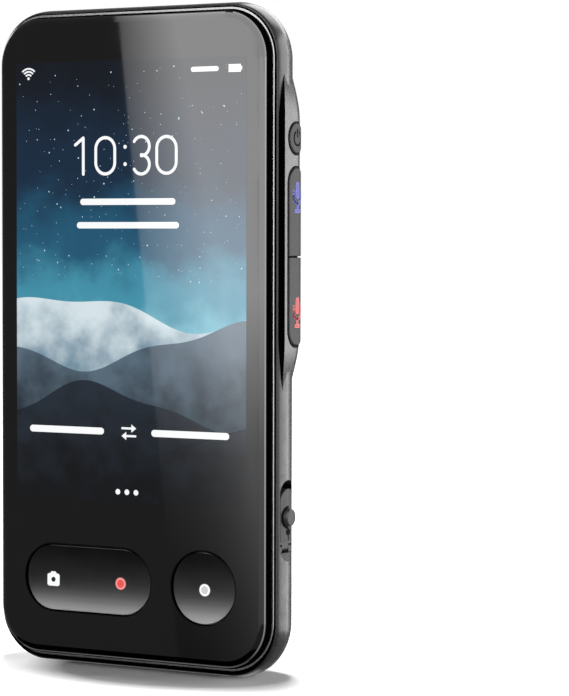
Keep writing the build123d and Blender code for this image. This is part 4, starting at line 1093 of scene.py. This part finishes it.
def make_top_panel():
    """Carries the glass softbox on upwards, for the rounded top edge of the glass."""
    glow = Glow("top_softbox")
    share = glow.maths("MULTIPLY_ADD", glow.edge_share(), 0.7, 0.3)
    glow.strength(glow.maths("MULTIPLY", share, FULL_GLOW))
    rows = []
    for tilt in spaced(1.0, 42.0, 9):
        rows.append(
            [
                (reflected(u, TOP_V, tilt, 90), (u - EDGE_TOP_U) / EDGE_WIDTH, 0.0)
                for u in spaced(EDGE_TOP_U, GLASS_BEND_U, 7)
            ]
        )
    glow_panel("top_softbox", rows, glow)


def make_corner_panels():
    """What the rounded corners and the foot of the glass reflect, over ranges of tilt and turn."""
    top_fade = [(0.0, 1.0), (1.0, 0.8)]
    foot_fade = [(0.0, 1.0), (0.5, 0.7), (1.0, 0.0)]
    corner_glow = 0.9 * FULL_GLOW
    far, near = PANEL_DISTANCE, 0.3
    count = 13
    for name, pixel, tilts, turns, strength, fade, distance in (
        ("corner_softbox", TOP_CORNER, (0.8, 35.5), (-1.5, 91), corner_glow, None, far),
        ("corner_strip", TOP_CORNER_RIM, RIM_TILTS, (-1, 80), 8.0, top_fade, far),
        ("foot_strip", FOOT_CORNER_RIM, RIM_TILTS, (-2, -60), 5.0, foot_fade, far),
        ("foot_glow", FOOT_RIM, (43.0, 85.0), (-50, -130), 1.3, None, near),
        ("foot_flag", FOOT_EDGE, (1.0, 37.0), (-30, -140), 0.0, None, near),
    ):
        glow = Glow(name)
        if fade:
            strength = glow.maths("MULTIPLY", glow.ramp(glow.down, fade), strength)
        glow.strength(strength)
        rows = []
        for i, turn in enumerate(spaced(*turns, count)):
            down = i / (count - 1)
            points = [reflected(*pixel, tilt, turn, distance) for tilt in spaced(*tilts, 9)]
            rows.append([(point, 0.0, down) for point in points])
        glow_panel(name, rows, glow)


def make_lights():
    make_flat_panel()
    make_side_panels()
    make_top_panel()
    make_corner_panels()
    middle = (0, 0, 0.065)
    forward = camera_axes()[2]
    back = Vector((forward.x, forward.y, 0)).normalized()
    overhead = area_light("overhead_light", (0.0, 1.0, 0.95), middle, 1.0, 11)
    overhead.visible_diffuse = False
    above_floor = back * 0.22 + Vector((0, 0, 1.4))
    floor_light = area_light("floor_light", above_floor, (0, 0, 0), 0.2, 18)
    floor_light.visible_glossy = False
    far_side = area_light("far_side_light", (-1.1, 0.5, 0.15), middle, 0.35, 5, 0.9)
    far_side.visible_diffuse = False


bpy.context.scene.view_settings.view_transform = "Standard"
make_world()
make_camera()
dress_nodes()
make_picture()
make_clock()
make_screen_marks()
make_key_marks()
make_front_key_gap_shade()
make_mic_marks()
make_side_marks()
make_grille_dots()
make_lens_rings()
make_floor()
make_lights()
